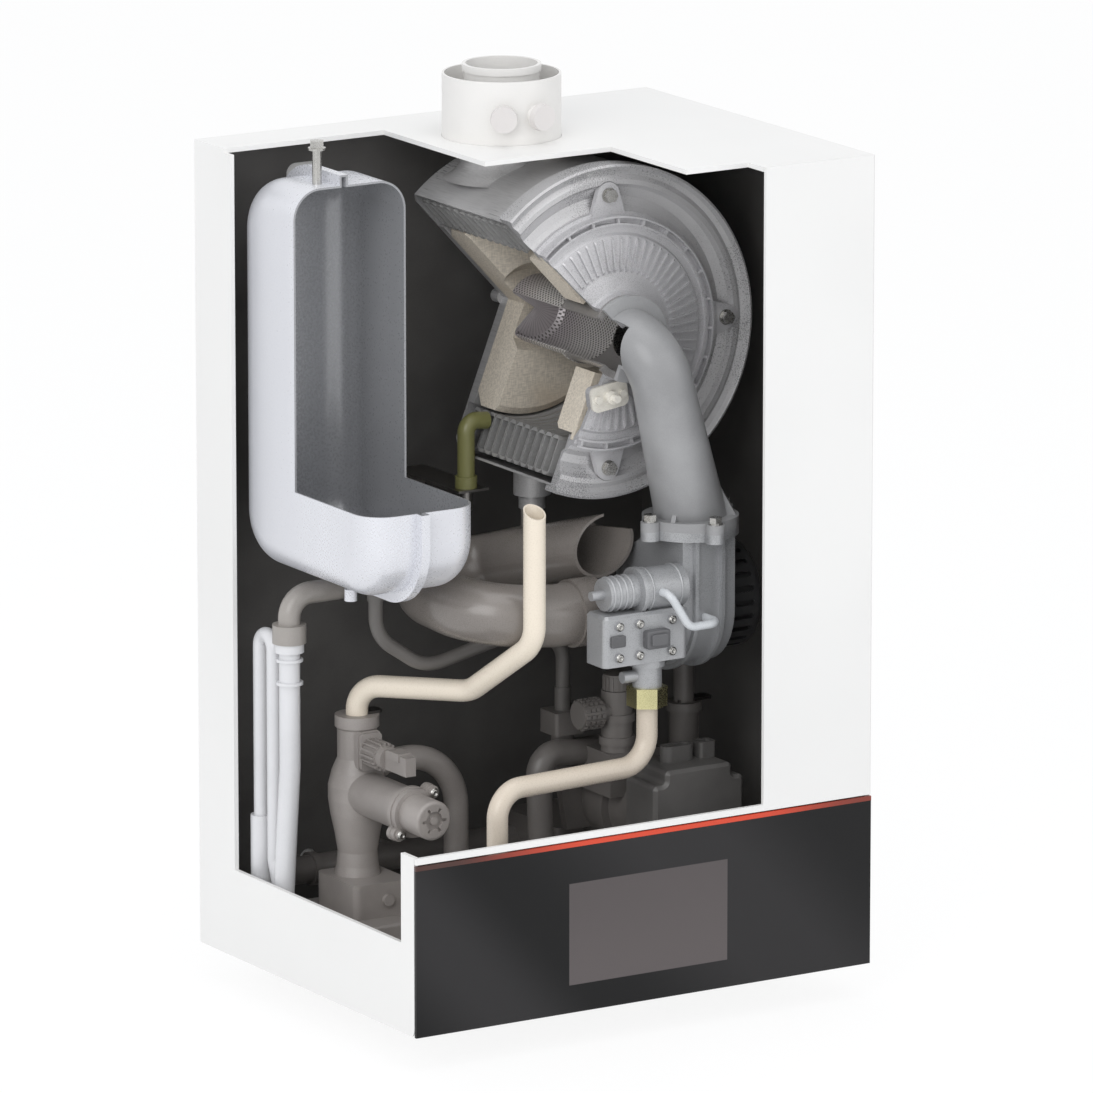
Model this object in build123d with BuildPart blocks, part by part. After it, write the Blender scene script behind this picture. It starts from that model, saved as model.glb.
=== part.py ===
from build123d import *
from math import atan2, ceil, cos, degrees, hypot, radians, sin
import os

os.makedirs("parts", exist_ok=True)

# Wall-hung condensing gas boiler, opened along its left side, top and front.
# Millimetres. X is to the right seen from the front, Y runs into the wall, Z is up.
# The origin is the middle of the lower edge of the rear face, which lies on the wall (y = 0).
# A depth, such as GAS_PIPE_DEPTH, is a distance in front of the wall, so y is its negative.

# Case
CASE_W = 450.0
CASE_D = 360.0
CASE_H = 700.0
SIDE_T = 4.0
TOP_T = 4.0
FRONT_T = 3.5
BACK_T = 2.0
BOTTOM_T = 2.0
MAT_T = 2.5
PANEL_GAP = 0.5
CONTACT_GAP = 0.3
RUN_FIT = 0.06

# Cut-away window of the case
WINDOW_BACK = 60.0
WINDOW_SILL = 77.0
POST_BACK = 335.0
STRIP_TOP = 154.0
WINDOW_RIGHT = 116.0
TOP_CUT = ((-69.0, 50.0), (-69.0, 214.0), (55.0, 214.0), (55.0, 332.0))

# Control unit, folding forward and down about its lower edge
CONTROL_H = 147.0
LIGHT_H = 4.0
GLASS_T = 3.5
HOUSING_DEPTH = 335.5
HOUSING_WALL = 2.0
DOOR_GAP = 1.5
HINGE_Z = 7.0
HINGE_DEPTH = 348.0
SWING_CLEAR = 3.5
TRUNNION_R = 3.0
TRUNNION_IN_PANEL = 2.4
DISPLAY_W = 157.0
DISPLAY_H = 88.0
DISPLAY_T = 6.0
DISPLAY_X = 2.0
DISPLAY_Z = 68.0
BOARD_W = 180.0
BOARD_H = 90.0
BOARD_T = 1.6
BOARD_STANDOFF = 6.0

# Flue connection
FLUE_X = 5.0
FLUE_DEPTH = 120.0
AIR_PIPE_R = 50.5
AIR_PIPE_T = 2.0
AIR_PIPE_RISE = 54.0
AIR_FLANGE_R = 60.0
AIR_FLANGE_T = 3.0
GAS_SOCKET_R = 30.5
FLUE_PIPE_T = 1.5
FLUE_BEAD = 1.6
FLUE_RISE = 62.0
PORT_ANGLES = (-119.5, -85.5)
PORT_Z = 724.0
PORT_R = 9.5
PORT_OUT = 5.0
PORT_BORE_R = 6.0
CAP_R = 11.5
CAP_T = 6.0
CAP_TRAVEL = 12.0

# Heat exchanger, its axis level and square to the wall
HX_X = 42.0
HX_Z = 546.0
CUT_FROM = 133.0
CUT_TO = 248.5
JACKET_R = 138.0
JACKET_T = 2.0
JACKET_REAR = 60.0
REAR_STUD_R = 6.0
REAR_STUD_LEN = 9.0
COIL_IN_R = 96.0
COIL_OUT_R = 131.0
COIL_TURNS = 12
COIL_PITCH = 11.5
COIL_GAP = 1.0
COIL_REAR = 74.0
REAR_INS_R = 94.0
REAR_INS_BACK = 70.0
REAR_INS_FRONT = 108.0
DISH_R = 143.0
DISH_T = 2.5
BOLT_FACE = 226.0
BOLT_CIRCLE_R = 117.0
BOLT_ANGLES = (0.0, 90.0, 270.0)
DOOR_R = 100.0
DOOR_FACE = 240.0
NECK_R = 37.0
NECK_BORE_R = 31.5
NECK_FACE = 258.0
FIN_PITCH = 6.0
FIN_IN_R = 52.0
FIN_OUT_R = 84.0
FIN_T = 1.8
FIN_H = 2.6
RIB_PITCH = 15.0
EAR_R = 11.0
EAR_T = 5.0
EAR_ROOT = 34.0
FRONT_INS_R = 90.0
FRONT_INS_IN_R = 36.0
FRONT_INS_T = 30.0

# Burner
BURNER_CUT_FROM = 145.0
BURNER_CUT_TO = 223.0
BURNER_R = 30.0
BURNER_T = 1.2
BURNER_BACK = 112.0
BURNER_FRONT = 197.0
TUBE_T = 1.5
TUBE_FRONT = 261.0
FLAP_R = 20.0
FLAP_T = 1.6
FLAP_FACE = 266.0
FLAP_FRAME_FRONT = 279.0
FLAP_PIN_R = 1.4
FLAP_OPEN_ANGLE = 35.0

# Mixing duct from the fan up to the burner
DUCT_R = 26.0
DUCT_FOOT_R = 31.0
DUCT_T = 3.0
DUCT_BEND_R = 30.0
DUCT_FRONT = 304.0
DUCT_FLANGE_R = 41.0
DUCT_FLANGE_T = 8.0
DUCT_BOLT_R = 46.0
DUCT_BOLT_ANGLES = (190.0, 265.0, 20.0)

# Fan, its shaft along X
FAN_Z = 310.0
FAN_DEPTH = 240.0
FAN_LEFT = 75.0
FAN_RIGHT = 127.0
SCROLL_R = 54.0
SCROLL_SHIFT = 3.0
SCROLL_WALL = 4.0
OUTLET_X = 102.0
OUTLET_DEPTH = 266.0
OUTLET_TOP = 381.0
IMPELLER_R = 42.0
IMPELLER_W = 26.0
BLADES = 14
FAN_SHAFT_R = 4.0
MOTOR_R = 47.0
MOTOR_W = 38.0
INLET_R = 23.0
INLET_LEFT = 12.0

# Gas valve and gas pipe
VALVE_DEPTH = 290.0
VALVE_BOX = (-8.0, 72.0, 276.0, 320.0)
VALVE_BOX_D = 32.0
VALVE_TOP_Z = 336.0
GAS_X = 44.0
GAS_PIPE_R = 9.0
GAS_PIPE_T = 1.2
NUT_AF = 30.0
NUT_TOP = 252.0
NUT_H = 17.0
GAS_DOWN_X = -116.0
GAS_DOWN_DEPTH = 310.0
GAS_RUN_Z = 186.0

# Intake silencer pipe
INTAKE_R = 26.5
INTAKE_T = 2.5
INTAKE_Z = 317.0
INTAKE_DEPTH = 235.0
INTAKE_BACK_DEPTH = 112.0
INTAKE_MOUTH = (41.0, 226.0, 361.0)

# Expansion vessel
VESSEL_LEFT = -210.0
VESSEL_RIGHT = -101.0
VESSEL_SEAM = -161.0
VESSEL_BACK = 43.0
VESSEL_FRONT = 262.0
VESSEL_BOTTOM = 345.0
VESSEL_TOP = 677.0
VESSEL_CORNER_R = 46.0
VESSEL_EDGE_R = 26.0
VESSEL_T = 1.8
BEAD_OUT = 7.0
BEAD_W = 8.0
VESSEL_CUT_DEPTH = 139.0
VESSEL_CUT_Z = 420.0
PORT_HOSE_R = 6.0

# Flow pipe and the hydraulic blocks
FLOW_R = 9.5
FLOW_T = 1.2
DIVERTER_X = -138.0
DIVERTER_DEPTH = 118.0
DIVERTER_TOP = 215.0
DIVERTER_AXIS_Z = 149.0
DIVERTER_R = 17.0
SPINDLE_R = 4.0
SPINDLE_TRAVEL = 6.0
PUMP_X = 97.0
PUMP_Z = 126.0
PUMP_R = 42.0
PUMP_BACK = 130.0
PUMP_FACE = 203.0
ROTOR_R = 24.0
CONTROLLER_BOX = (52.0, 142.0, 80.0, 174.0)
CONTROLLER_FRONT = 290.0
VENT_X = 61.0
VENT_DEPTH = 215.0
VENT_R = 15.0
VENT_SEAT = 221.0
RETURN_X = 143.0
RETURN_DEPTH = 200.0
RETURN_TOP = 208.0
STUB_XS = (-138.0, -69.0, 0.0, 66.0, 131.0)
STUB_DEPTH = 118.0
STUB_R = 10.6
STUB_BELOW = 26.0


def section_plane(angle):
    """Plane through the exchanger's axis: x is the radius at that angle, y the depth."""
    turn = radians(angle)
    return Plane(
        origin=(HX_X, 0, HX_Z),
        x_dir=(cos(turn), 0, sin(turn)),
        z_dir=(sin(turn), 0, -cos(turn)),
    )


def front_plane(depth, x=0.0, z=0.0):
    """Upright plane at a depth, seen from the front: x to the right, y up, extruded forward."""
    return Plane(origin=(x, -depth, z), x_dir=(1, 0, 0), z_dir=(0, -1, 0))


def side_plane(x):
    """Upright plane at x: local x is the depth, local y is up, extruded to the left."""
    return Plane(origin=(x, 0, 0), x_dir=(0, -1, 0), z_dir=(-1, 0, 0))


def at_exchanger(radius, angle):
    """Place on a front plane at a radius and an angle about the exchanger's axis."""
    turn = radians(angle)
    return HX_X + radius * cos(turn), HX_Z + radius * sin(turn)


def bent_rod(points, radii, radius, mode=Mode.ADD):
    """Round bar along straight runs that tangent arcs join; cut out of the part for a bore."""
    with BuildLine() as route:
        FilletPolyline(*points, radius=radii)
    for piece in route.edges():
        heading = piece % 0
        with BuildSketch(Plane(piece @ 0, z_dir=heading)) as ring:
            Circle(radius)
        if piece.geom_type == GeomType.LINE:
            extrude(ring.sketch, amount=piece.length, mode=mode)
        else:
            spoke = (piece @ 0) - piece.arc_center
            axis = Axis(piece.arc_center, spoke.cross(heading))
            turned = degrees(piece.length / spoke.length)
            revolve(ring.sketch, axis=axis, revolution_arc=turned, mode=mode)


def upright_bar(x, depth, bottom, top, radius, mode=Mode.ADD):
    """Round upright bar at x and a depth, between two heights."""
    with BuildSketch(Plane.XY.offset(bottom)) as ring:
        with Locations((x, -depth)):
            Circle(radius)
    extrude(ring.sketch, amount=top - bottom, mode=mode)


def level_bar(x, z, back, front, radius, mode=Mode.ADD):
    """Round bar square to the wall, between two depths."""
    with BuildSketch(front_plane(back, x, z)) as ring:
        Circle(radius)
    extrude(ring.sketch, amount=front - back, mode=mode)


def cross_bar(depth, z, left, right, radius, mode=Mode.ADD):
    """Round bar along X, between two places."""
    with BuildSketch(side_plane(right)) as ring:
        with Locations((depth, z)):
            Circle(radius)
    extrude(ring.sketch, amount=right - left, mode=mode)


HX_AXIS = Axis((HX_X, 0, HX_Z), (0, -1, 0))
KEPT_ARC = 360.0 - (CUT_TO - CUT_FROM)
BURNER_ARC = 360.0 - (BURNER_CUT_TO - BURNER_CUT_FROM)
HALF_W = CASE_W / 2
INNER_W = HALF_W - SIDE_T
SIDE_FRONT = CASE_D - FRONT_T - PANEL_GAP
PANEL_BOTTOM = CONTROL_H + DOOR_GAP

# Back plate with two keyhole slots for the wall hooks and a bolt hole at each lower corner
HOOK_SPAN = 240.0
HOOK_Z = 640.0
HOOK_HOLE_R = 9.0
HOOK_SLOT_R = 4.5
HOOK_RISE = 16.0
FOOT_HOLE_R = 4.5
FOOT_HOLE_Z = 60.0

with BuildPart() as back_plate:
    with BuildSketch(front_plane(0)):
        with Locations((0, (CASE_H - TOP_T - PANEL_GAP) / 2)):
            Rectangle(2 * INNER_W - 2 * PANEL_GAP, CASE_H - TOP_T - PANEL_GAP)
    extrude(amount=BACK_T)
    with BuildSketch(front_plane(0)):
        with Locations((-HOOK_SPAN / 2, HOOK_Z), (HOOK_SPAN / 2, HOOK_Z)):
            Circle(HOOK_HOLE_R)
        with Locations((-HOOK_SPAN / 2, HOOK_Z + HOOK_RISE / 2), (HOOK_SPAN / 2, HOOK_Z + HOOK_RISE / 2)):
            SlotOverall(HOOK_RISE + 2 * HOOK_SLOT_R, 2 * HOOK_SLOT_R, rotation=90)
        with Locations((-HOOK_SPAN / 2, FOOT_HOLE_Z), (HOOK_SPAN / 2, FOOT_HOLE_Z)):
            Circle(FOOT_HOLE_R)
    extrude(amount=BACK_T, mode=Mode.SUBTRACT)
back_plate.part.label = "back_plate"
export_step(back_plate.part, "parts/back_plate.step")

# Dark sound mats: one on the back plate, one on the right side panel, clear of the tray's swing
MAT_FRONT = HOUSING_DEPTH - SWING_CLEAR

with BuildPart() as sound_mats:
    with BuildSketch(front_plane(BACK_T)):
        with Locations((0, CASE_H / 2)):
            Rectangle(2 * INNER_W - 2 * PANEL_GAP, CASE_H - 2 * TOP_T - 2 * PANEL_GAP)
        with Locations((-HOOK_SPAN / 2, HOOK_Z + HOOK_RISE / 2), (HOOK_SPAN / 2, HOOK_Z + HOOK_RISE / 2)):
            RectangleRounded(4 * HOOK_HOLE_R, 5 * HOOK_HOLE_R, HOOK_HOLE_R, mode=Mode.SUBTRACT)
        with Locations((-HOOK_SPAN / 2, FOOT_HOLE_Z), (HOOK_SPAN / 2, FOOT_HOLE_Z)):
            Circle(2 * FOOT_HOLE_R, mode=Mode.SUBTRACT)
    extrude(amount=MAT_T)
    with BuildSketch(side_plane(INNER_W)):
        with Locations(((BACK_T + MAT_T + PANEL_GAP + MAT_FRONT) / 2, CASE_H / 2)):
            Rectangle(MAT_FRONT - BACK_T - MAT_T - PANEL_GAP, CASE_H - 2 * TOP_T - 2 * PANEL_GAP)
    extrude(amount=MAT_T)
sound_mats.part.label = "sound_mats"
export_step(sound_mats.part, "parts/sound_mats.step")

# Left side panel: what the window leaves is a strip at the back, a sill and a front post.
# Both side panels end below in a nose about the hinge, inside the sweep of the glass.
NOSE_R = CASE_D - GLASS_T - HINGE_DEPTH - 2 * CONTACT_GAP

with BuildPart() as left_side_panel:
    with BuildSketch(side_plane(-INNER_W)):
        Polygon(
            (0, 0),
            (SIDE_FRONT, 0),
            (SIDE_FRONT, STRIP_TOP),
            (POST_BACK, STRIP_TOP),
            (POST_BACK, WINDOW_SILL),
            (WINDOW_BACK, WINDOW_SILL),
            (WINDOW_BACK, CASE_H - TOP_T),
            (0, CASE_H - TOP_T),
            align=None,
        )
    extrude(amount=SIDE_T)
    with BuildSketch(side_plane(-INNER_W)):
        with Locations((HINGE_DEPTH, HINGE_Z)):
            Circle(TRUNNION_R + RUN_FIT)
    extrude(amount=TRUNNION_IN_PANEL + PANEL_GAP, mode=Mode.SUBTRACT)
    with BuildSketch(side_plane(-INNER_W)):
        with Locations((HINGE_DEPTH + CASE_D / 2, HINGE_Z - CASE_D / 2)):
            Rectangle(CASE_D, CASE_D)
        with Locations((HINGE_DEPTH, HINGE_Z)):
            Circle(NOSE_R, mode=Mode.SUBTRACT)
    extrude(amount=SIDE_T, mode=Mode.SUBTRACT)
left_side_panel.part.label = "left_side_panel"
export_step(left_side_panel.part, "parts/left_side_panel.step")

# Right side panel, whole
with BuildPart() as right_side_panel:
    with BuildSketch(side_plane(HALF_W)):
        Polygon((0, 0), (SIDE_FRONT, 0), (SIDE_FRONT, CASE_H - TOP_T), (0, CASE_H - TOP_T), align=None)
    extrude(amount=SIDE_T)
    with BuildSketch(side_plane(INNER_W + TRUNNION_IN_PANEL + PANEL_GAP)):
        with Locations((HINGE_DEPTH, HINGE_Z)):
            Circle(TRUNNION_R + RUN_FIT)
    extrude(amount=TRUNNION_IN_PANEL + PANEL_GAP, mode=Mode.SUBTRACT)
    with BuildSketch(side_plane(HALF_W)):
        with Locations((HINGE_DEPTH + CASE_D / 2, HINGE_Z - CASE_D / 2)):
            Rectangle(CASE_D, CASE_D)
        with Locations((HINGE_DEPTH, HINGE_Z)):
            Circle(NOSE_R, mode=Mode.SUBTRACT)
    extrude(amount=SIDE_T, mode=Mode.SUBTRACT)
right_side_panel.part.label = "right_side_panel"
export_step(right_side_panel.part, "parts/right_side_panel.step")

# Top panel with the stepped cut and the hole for the flue connection
with BuildPart() as top_panel:
    with BuildSketch(Plane.XY.offset(CASE_H - TOP_T)):
        Polygon(
            (-HALF_W, 0),
            (-HALF_W, -TOP_CUT[0][1]),
            *[(x, -depth) for x, depth in TOP_CUT],
            (WINDOW_RIGHT, -TOP_CUT[-1][1]),
            (WINDOW_RIGHT, -SIDE_FRONT),
            (HALF_W, -SIDE_FRONT),
            (HALF_W, 0),
            align=None,
        )
        with Locations((FLUE_X, -FLUE_DEPTH)):
            Circle(AIR_PIPE_R + CONTACT_GAP, mode=Mode.SUBTRACT)
    extrude(amount=TOP_T)
top_panel.part.label = "top_panel"
export_step(top_panel.part, "parts/top_panel.step")

# Bottom plate with the holes that the pipe connections pass through
FLOOR_FRONT = HINGE_DEPTH - 16.0
DRAIN_X = -206.0
DRAIN_DEPTHS = (70.0, 113.0)
DRAIN_HOSE_R = 9.0

with BuildPart() as bottom_plate:
    with BuildSketch(Plane.XY):
        with Locations((0, -(BACK_T + PANEL_GAP + FLOOR_FRONT) / 2)):
            Rectangle(2 * INNER_W - 2 * PANEL_GAP, FLOOR_FRONT - BACK_T - PANEL_GAP)
        with Locations(*[(x, -STUB_DEPTH) for x in STUB_XS]):
            Circle(STUB_R + CONTACT_GAP, mode=Mode.SUBTRACT)
    extrude(amount=BOTTOM_T)
bottom_plate.part.label = "bottom_plate"
export_step(bottom_plate.part, "parts/bottom_plate.step")

# Front panel: the right strip and the narrow strip above the control unit
with BuildPart() as front_panel:
    with BuildSketch(front_plane(CASE_D - FRONT_T)):
        Polygon(
            (-HALF_W, PANEL_BOTTOM),
            (HALF_W, PANEL_BOTTOM),
            (HALF_W, CASE_H),
            (WINDOW_RIGHT, CASE_H),
            (WINDOW_RIGHT, STRIP_TOP),
            (-HALF_W, STRIP_TOP),
            align=None,
        )
    extrude(amount=FRONT_T)
    front_panel_edges = front_panel.edges().filter_by(Axis.Z).group_by(Axis.Y)[0].sort_by(Axis.X)
    fillet(front_panel_edges[-1], radius=2.5)
front_panel.part.label = "front_panel"
export_step(front_panel.part, "parts/front_panel.step")

# Control unit housing: a tray behind the glass, open to the front, with its two trunnions
HOUSING_HALF_W = INNER_W - PANEL_GAP
GLASS_BACK = CASE_D - GLASS_T

with BuildPart() as control_housing:
    with BuildSketch(front_plane(HOUSING_DEPTH)):
        with Locations((0, CONTROL_H / 2)):
            Rectangle(2 * HOUSING_HALF_W, CONTROL_H - 2 * PANEL_GAP)
    extrude(amount=GLASS_BACK - HOUSING_DEPTH)
    with BuildSketch(front_plane(HOUSING_DEPTH + HOUSING_WALL)):
        with Locations((0, CONTROL_H / 2)):
            Rectangle(2 * (HOUSING_HALF_W - 12.0), CONTROL_H - 2 * PANEL_GAP - 18.0)
    extrude(amount=CASE_D, mode=Mode.SUBTRACT)
    with BuildSketch(front_plane(HOUSING_DEPTH + HOUSING_WALL)):
        with GridLocations(BOARD_W - 10.0, BOARD_H - 10.0, 2, 2):
            with Locations((DISPLAY_X, DISPLAY_Z)):
                Circle(3.0)
    extrude(amount=BOARD_STANDOFF)
    cross_bar(HINGE_DEPTH, HINGE_Z, -HOUSING_HALF_W - TRUNNION_IN_PANEL, -HOUSING_HALF_W, TRUNNION_R)
    cross_bar(HINGE_DEPTH, HINGE_Z, HOUSING_HALF_W, HOUSING_HALF_W + TRUNNION_IN_PANEL, TRUNNION_R)
control_housing.part.label = "control_housing"
export_step(control_housing.part, "parts/control_housing.step")

# Circuit board on the four posts of the tray
BOARD_BACK = HOUSING_DEPTH + HOUSING_WALL + BOARD_STANDOFF

with BuildPart() as control_board:
    with BuildSketch(front_plane(BOARD_BACK)):
        with Locations((DISPLAY_X, DISPLAY_Z)):
            Rectangle(BOARD_W, BOARD_H)
    extrude(amount=BOARD_T)
control_board.part.label = "control_board"
export_step(control_board.part, "parts/control_board.step")

# Display behind the glass, on the board's four spacers
with BuildPart() as display_module:
    with BuildSketch(front_plane(GLASS_BACK - DISPLAY_T)):
        with Locations((DISPLAY_X, DISPLAY_Z)):
            Rectangle(DISPLAY_W, DISPLAY_H)
    extrude(amount=DISPLAY_T)
    with BuildSketch(front_plane(BOARD_BACK + BOARD_T)):
        with GridLocations(DISPLAY_W - 12.0, DISPLAY_H - 12.0, 2, 2):
            with Locations((DISPLAY_X, DISPLAY_Z)):
                Circle(2.5)
    extrude(amount=GLASS_BACK - DISPLAY_T - BOARD_BACK - BOARD_T)
display_module.part.label = "display_module"
export_step(display_module.part, "parts/display_module.step")

# Glass front of the control unit and the light line along its top edge
with BuildPart() as control_glass:
    with BuildSketch(front_plane(GLASS_BACK)):
        with Locations((0, (CONTROL_H - LIGHT_H) / 2)):
            Rectangle(CASE_W, CONTROL_H - LIGHT_H)
    extrude(amount=GLASS_T)
    chamfer(control_glass.faces().sort_by(Axis.Y)[0].edges(), length=0.6)
control_glass.part.label = "control_glass"
export_step(control_glass.part, "parts/control_glass.step")

with BuildPart() as light_strip:
    with BuildSketch(front_plane(GLASS_BACK)):
        with Locations((0, CONTROL_H - LIGHT_H / 2)):
            Rectangle(CASE_W, LIGHT_H)
    extrude(amount=GLASS_T - 0.4)
light_strip.part.label = "light_strip"
export_step(light_strip.part, "parts/light_strip.step")

# Flue connection: the outer air pipe with its flange under the top panel and two test ports
AIR_TOP = CASE_H + AIR_PIPE_RISE
AIR_BOTTOM = CASE_H - TOP_T - AIR_FLANGE_T
AIR_BORE_R = AIR_PIPE_R - AIR_PIPE_T
GAS_PIPE_OUT_R = GAS_SOCKET_R + FLUE_PIPE_T


def port_plane(angle, distance):
    """Upright plane facing away from the flue's axis, at a test port's angle and distance."""
    turn = radians(angle)
    origin = (FLUE_X + distance * cos(turn), -FLUE_DEPTH + distance * sin(turn), PORT_Z)
    return Plane(origin=origin, x_dir=(-sin(turn), cos(turn), 0), z_dir=(cos(turn), sin(turn), 0))


with BuildPart() as flue_outer_pipe:
    upright_bar(FLUE_X, FLUE_DEPTH, AIR_BOTTOM, AIR_TOP, AIR_PIPE_R)
    upright_bar(FLUE_X, FLUE_DEPTH, AIR_BOTTOM, AIR_BOTTOM + AIR_FLANGE_T, AIR_FLANGE_R)
    for angle in PORT_ANGLES:
        with BuildSketch(port_plane(angle, AIR_PIPE_R - 3.0)) as boss:
            Circle(PORT_R)
        extrude(boss.sketch, amount=3.0 + PORT_OUT)
    upright_bar(FLUE_X, FLUE_DEPTH, AIR_BOTTOM, AIR_TOP, AIR_BORE_R, mode=Mode.SUBTRACT)
    for angle in PORT_ANGLES:
        with BuildSketch(port_plane(angle, AIR_BORE_R - 6.0)) as bore:
            Circle(PORT_BORE_R)
        extrude(bore.sketch, amount=6.0 + AIR_PIPE_T + PORT_OUT + 2.0, mode=Mode.SUBTRACT)
flue_outer_pipe.part.label = "flue_outer_pipe"
export_step(flue_outer_pipe.part, "parts/flue_outer_pipe.step")

# Inner flue gas pipe: socket for the 60 mm pipe, beaded rim and three spacer webs
COLLAR_BORE_R = GAS_PIPE_OUT_R + CONTACT_GAP
COLLAR_TOP = AIR_BOTTOM - 2.0
GAS_PIPE_BOTTOM = COLLAR_TOP - 8.0
GAS_PIPE_TOP = CASE_H + FLUE_RISE

with BuildPart() as flue_inner_pipe:
    upright_bar(FLUE_X, FLUE_DEPTH, GAS_PIPE_BOTTOM, GAS_PIPE_TOP, GAS_PIPE_OUT_R)
    upright_bar(FLUE_X, FLUE_DEPTH, GAS_PIPE_TOP - 6.0, GAS_PIPE_TOP, GAS_PIPE_OUT_R + FLUE_BEAD)
    upright_bar(FLUE_X, FLUE_DEPTH, COLLAR_TOP, COLLAR_TOP + 2.0, GAS_PIPE_OUT_R + 3.0)
    with BuildSketch(Plane.XY.offset(CASE_H + 4.0)) as webs:
        with Locations((FLUE_X, -FLUE_DEPTH)):
            with PolarLocations((GAS_PIPE_OUT_R - 0.5 + AIR_BORE_R - CONTACT_GAP) / 2, 3, start_angle=90):
                Rectangle(AIR_BORE_R - CONTACT_GAP - GAS_PIPE_OUT_R + 0.5, 1.6)
    extrude(webs.sketch, amount=12.0)
    upright_bar(FLUE_X, FLUE_DEPTH, GAS_PIPE_BOTTOM, GAS_PIPE_TOP, GAS_SOCKET_R, mode=Mode.SUBTRACT)
flue_inner_pipe.part.label = "flue_inner_pipe"
export_step(flue_inner_pipe.part, "parts/flue_inner_pipe.step")

# Two push-in caps close the test ports
with BuildPart() as flue_gas_test_cap:
    with BuildSketch(port_plane(PORT_ANGLES[0], AIR_PIPE_R + PORT_OUT + PANEL_GAP)):
        Circle(CAP_R)
    extrude(amount=CAP_T, taper=4)
    with BuildSketch(port_plane(PORT_ANGLES[0], AIR_PIPE_R + PORT_OUT + PANEL_GAP)):
        Circle(PORT_BORE_R - RUN_FIT)
    extrude(amount=-(PORT_OUT + PANEL_GAP))
flue_gas_test_cap.part.label = "flue_gas_test_cap"
export_step(flue_gas_test_cap.part, "parts/flue_gas_test_cap.step")

with BuildPart() as supply_air_test_cap:
    with BuildSketch(port_plane(PORT_ANGLES[1], AIR_PIPE_R + PORT_OUT + PANEL_GAP)):
        Circle(CAP_R)
    extrude(amount=CAP_T, taper=4)
    with BuildSketch(port_plane(PORT_ANGLES[1], AIR_PIPE_R + PORT_OUT + PANEL_GAP)):
        Circle(PORT_BORE_R - RUN_FIT)
    extrude(amount=-(PORT_OUT + PANEL_GAP))
supply_air_test_cap.part.label = "supply_air_test_cap"
export_step(supply_air_test_cap.part, "parts/supply_air_test_cap.step")

# Heat exchanger jacket: a cup about the coil, opened by the wedge, with the flue collar on top,
# the condensate cup below and a stud at the middle of its rear wall
JACKET_IN_R = JACKET_R - JACKET_T
JACKET_FRONT = BOLT_FACE - 6.0
FLARE_R = 50.0
FLARE_BASE_Z = 664.0
COLLAR_T = 1.6
CUP_X = 35.0
CUP_DEPTH = 120.0
CUP_R = 16.0
CUP_BORE_R = 9.0
CUP_BOTTOM = 386.0

with BuildPart() as hx_jacket:
    with BuildSketch(section_plane(CUT_TO)) as jacket_outside:
        Polygon(
            (0, JACKET_REAR),
            (JACKET_R - 12.0, JACKET_REAR),
            (JACKET_R, JACKET_REAR + 12.0),
            (JACKET_R, JACKET_FRONT),
            (0, JACKET_FRONT),
            align=None,
        )
    revolve(axis=HX_AXIS, revolution_arc=KEPT_ARC)
    with BuildSketch(Plane(origin=(FLUE_X, -FLUE_DEPTH, 0), x_dir=(1, 0, 0), z_dir=(0, -1, 0))) as flare:
        with BuildLine():
            collar_r = COLLAR_BORE_R + COLLAR_T
            Line((0, FLARE_BASE_Z), (FLARE_R, FLARE_BASE_Z))
            RadiusArc((FLARE_R, FLARE_BASE_Z), (collar_r, COLLAR_TOP - 5.0), 22.0)
            Line((collar_r, COLLAR_TOP - 5.0), (collar_r, COLLAR_TOP))
            Line((collar_r, COLLAR_TOP), (0, COLLAR_TOP))
            Line((0, COLLAR_TOP), (0, FLARE_BASE_Z))
        make_face()
    revolve(flare.sketch, axis=Axis((FLUE_X, -FLUE_DEPTH, 0), (0, 0, 1)))
    upright_bar(CUP_X, CUP_DEPTH, CUP_BOTTOM, HX_Z - JACKET_IN_R + 4.0, CUP_R)
    upright_bar(CUP_X, CUP_DEPTH, CUP_BOTTOM - 12.0, CUP_BOTTOM, CUP_R - 4.5)
    upright_bar(FLUE_X, FLUE_DEPTH, HX_Z, COLLAR_TOP, COLLAR_BORE_R, mode=Mode.SUBTRACT)
    upright_bar(CUP_X, CUP_DEPTH, CUP_BOTTOM - 12.0, HX_Z, CUP_BORE_R, mode=Mode.SUBTRACT)
    with BuildSketch(section_plane(CUT_TO)) as jacket_inside:
        Polygon(
            (0, JACKET_REAR + JACKET_T),
            (JACKET_IN_R - 11.0, JACKET_REAR + JACKET_T),
            (JACKET_IN_R, JACKET_REAR + JACKET_T + 11.0),
            (JACKET_IN_R, JACKET_FRONT),
            (0, JACKET_FRONT),
            align=None,
        )
    revolve(jacket_inside.sketch, axis=HX_AXIS, revolution_arc=KEPT_ARC, mode=Mode.SUBTRACT)
    level_bar(HX_X, HX_Z, JACKET_REAR - REAR_STUD_LEN, JACKET_REAR + JACKET_T, REAR_STUD_R)
hx_jacket.part.label = "hx_jacket"
export_step(hx_jacket.part, "parts/hx_jacket.step")

# Coil: twelve windings of flat oval tube between the jacket and the combustion space
WINDING_W = COIL_PITCH - COIL_GAP
WINDING_BEVEL = 3.0
TUBE_WALL = 1.0
SPACER_ANGLES = (-60.0, 30.0, 110.0)
SPACER_W = 6.0
COIL_MID_R = (COIL_IN_R + COIL_OUT_R) / 2
COIL_SPAN = COIL_OUT_R - COIL_IN_R

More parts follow.
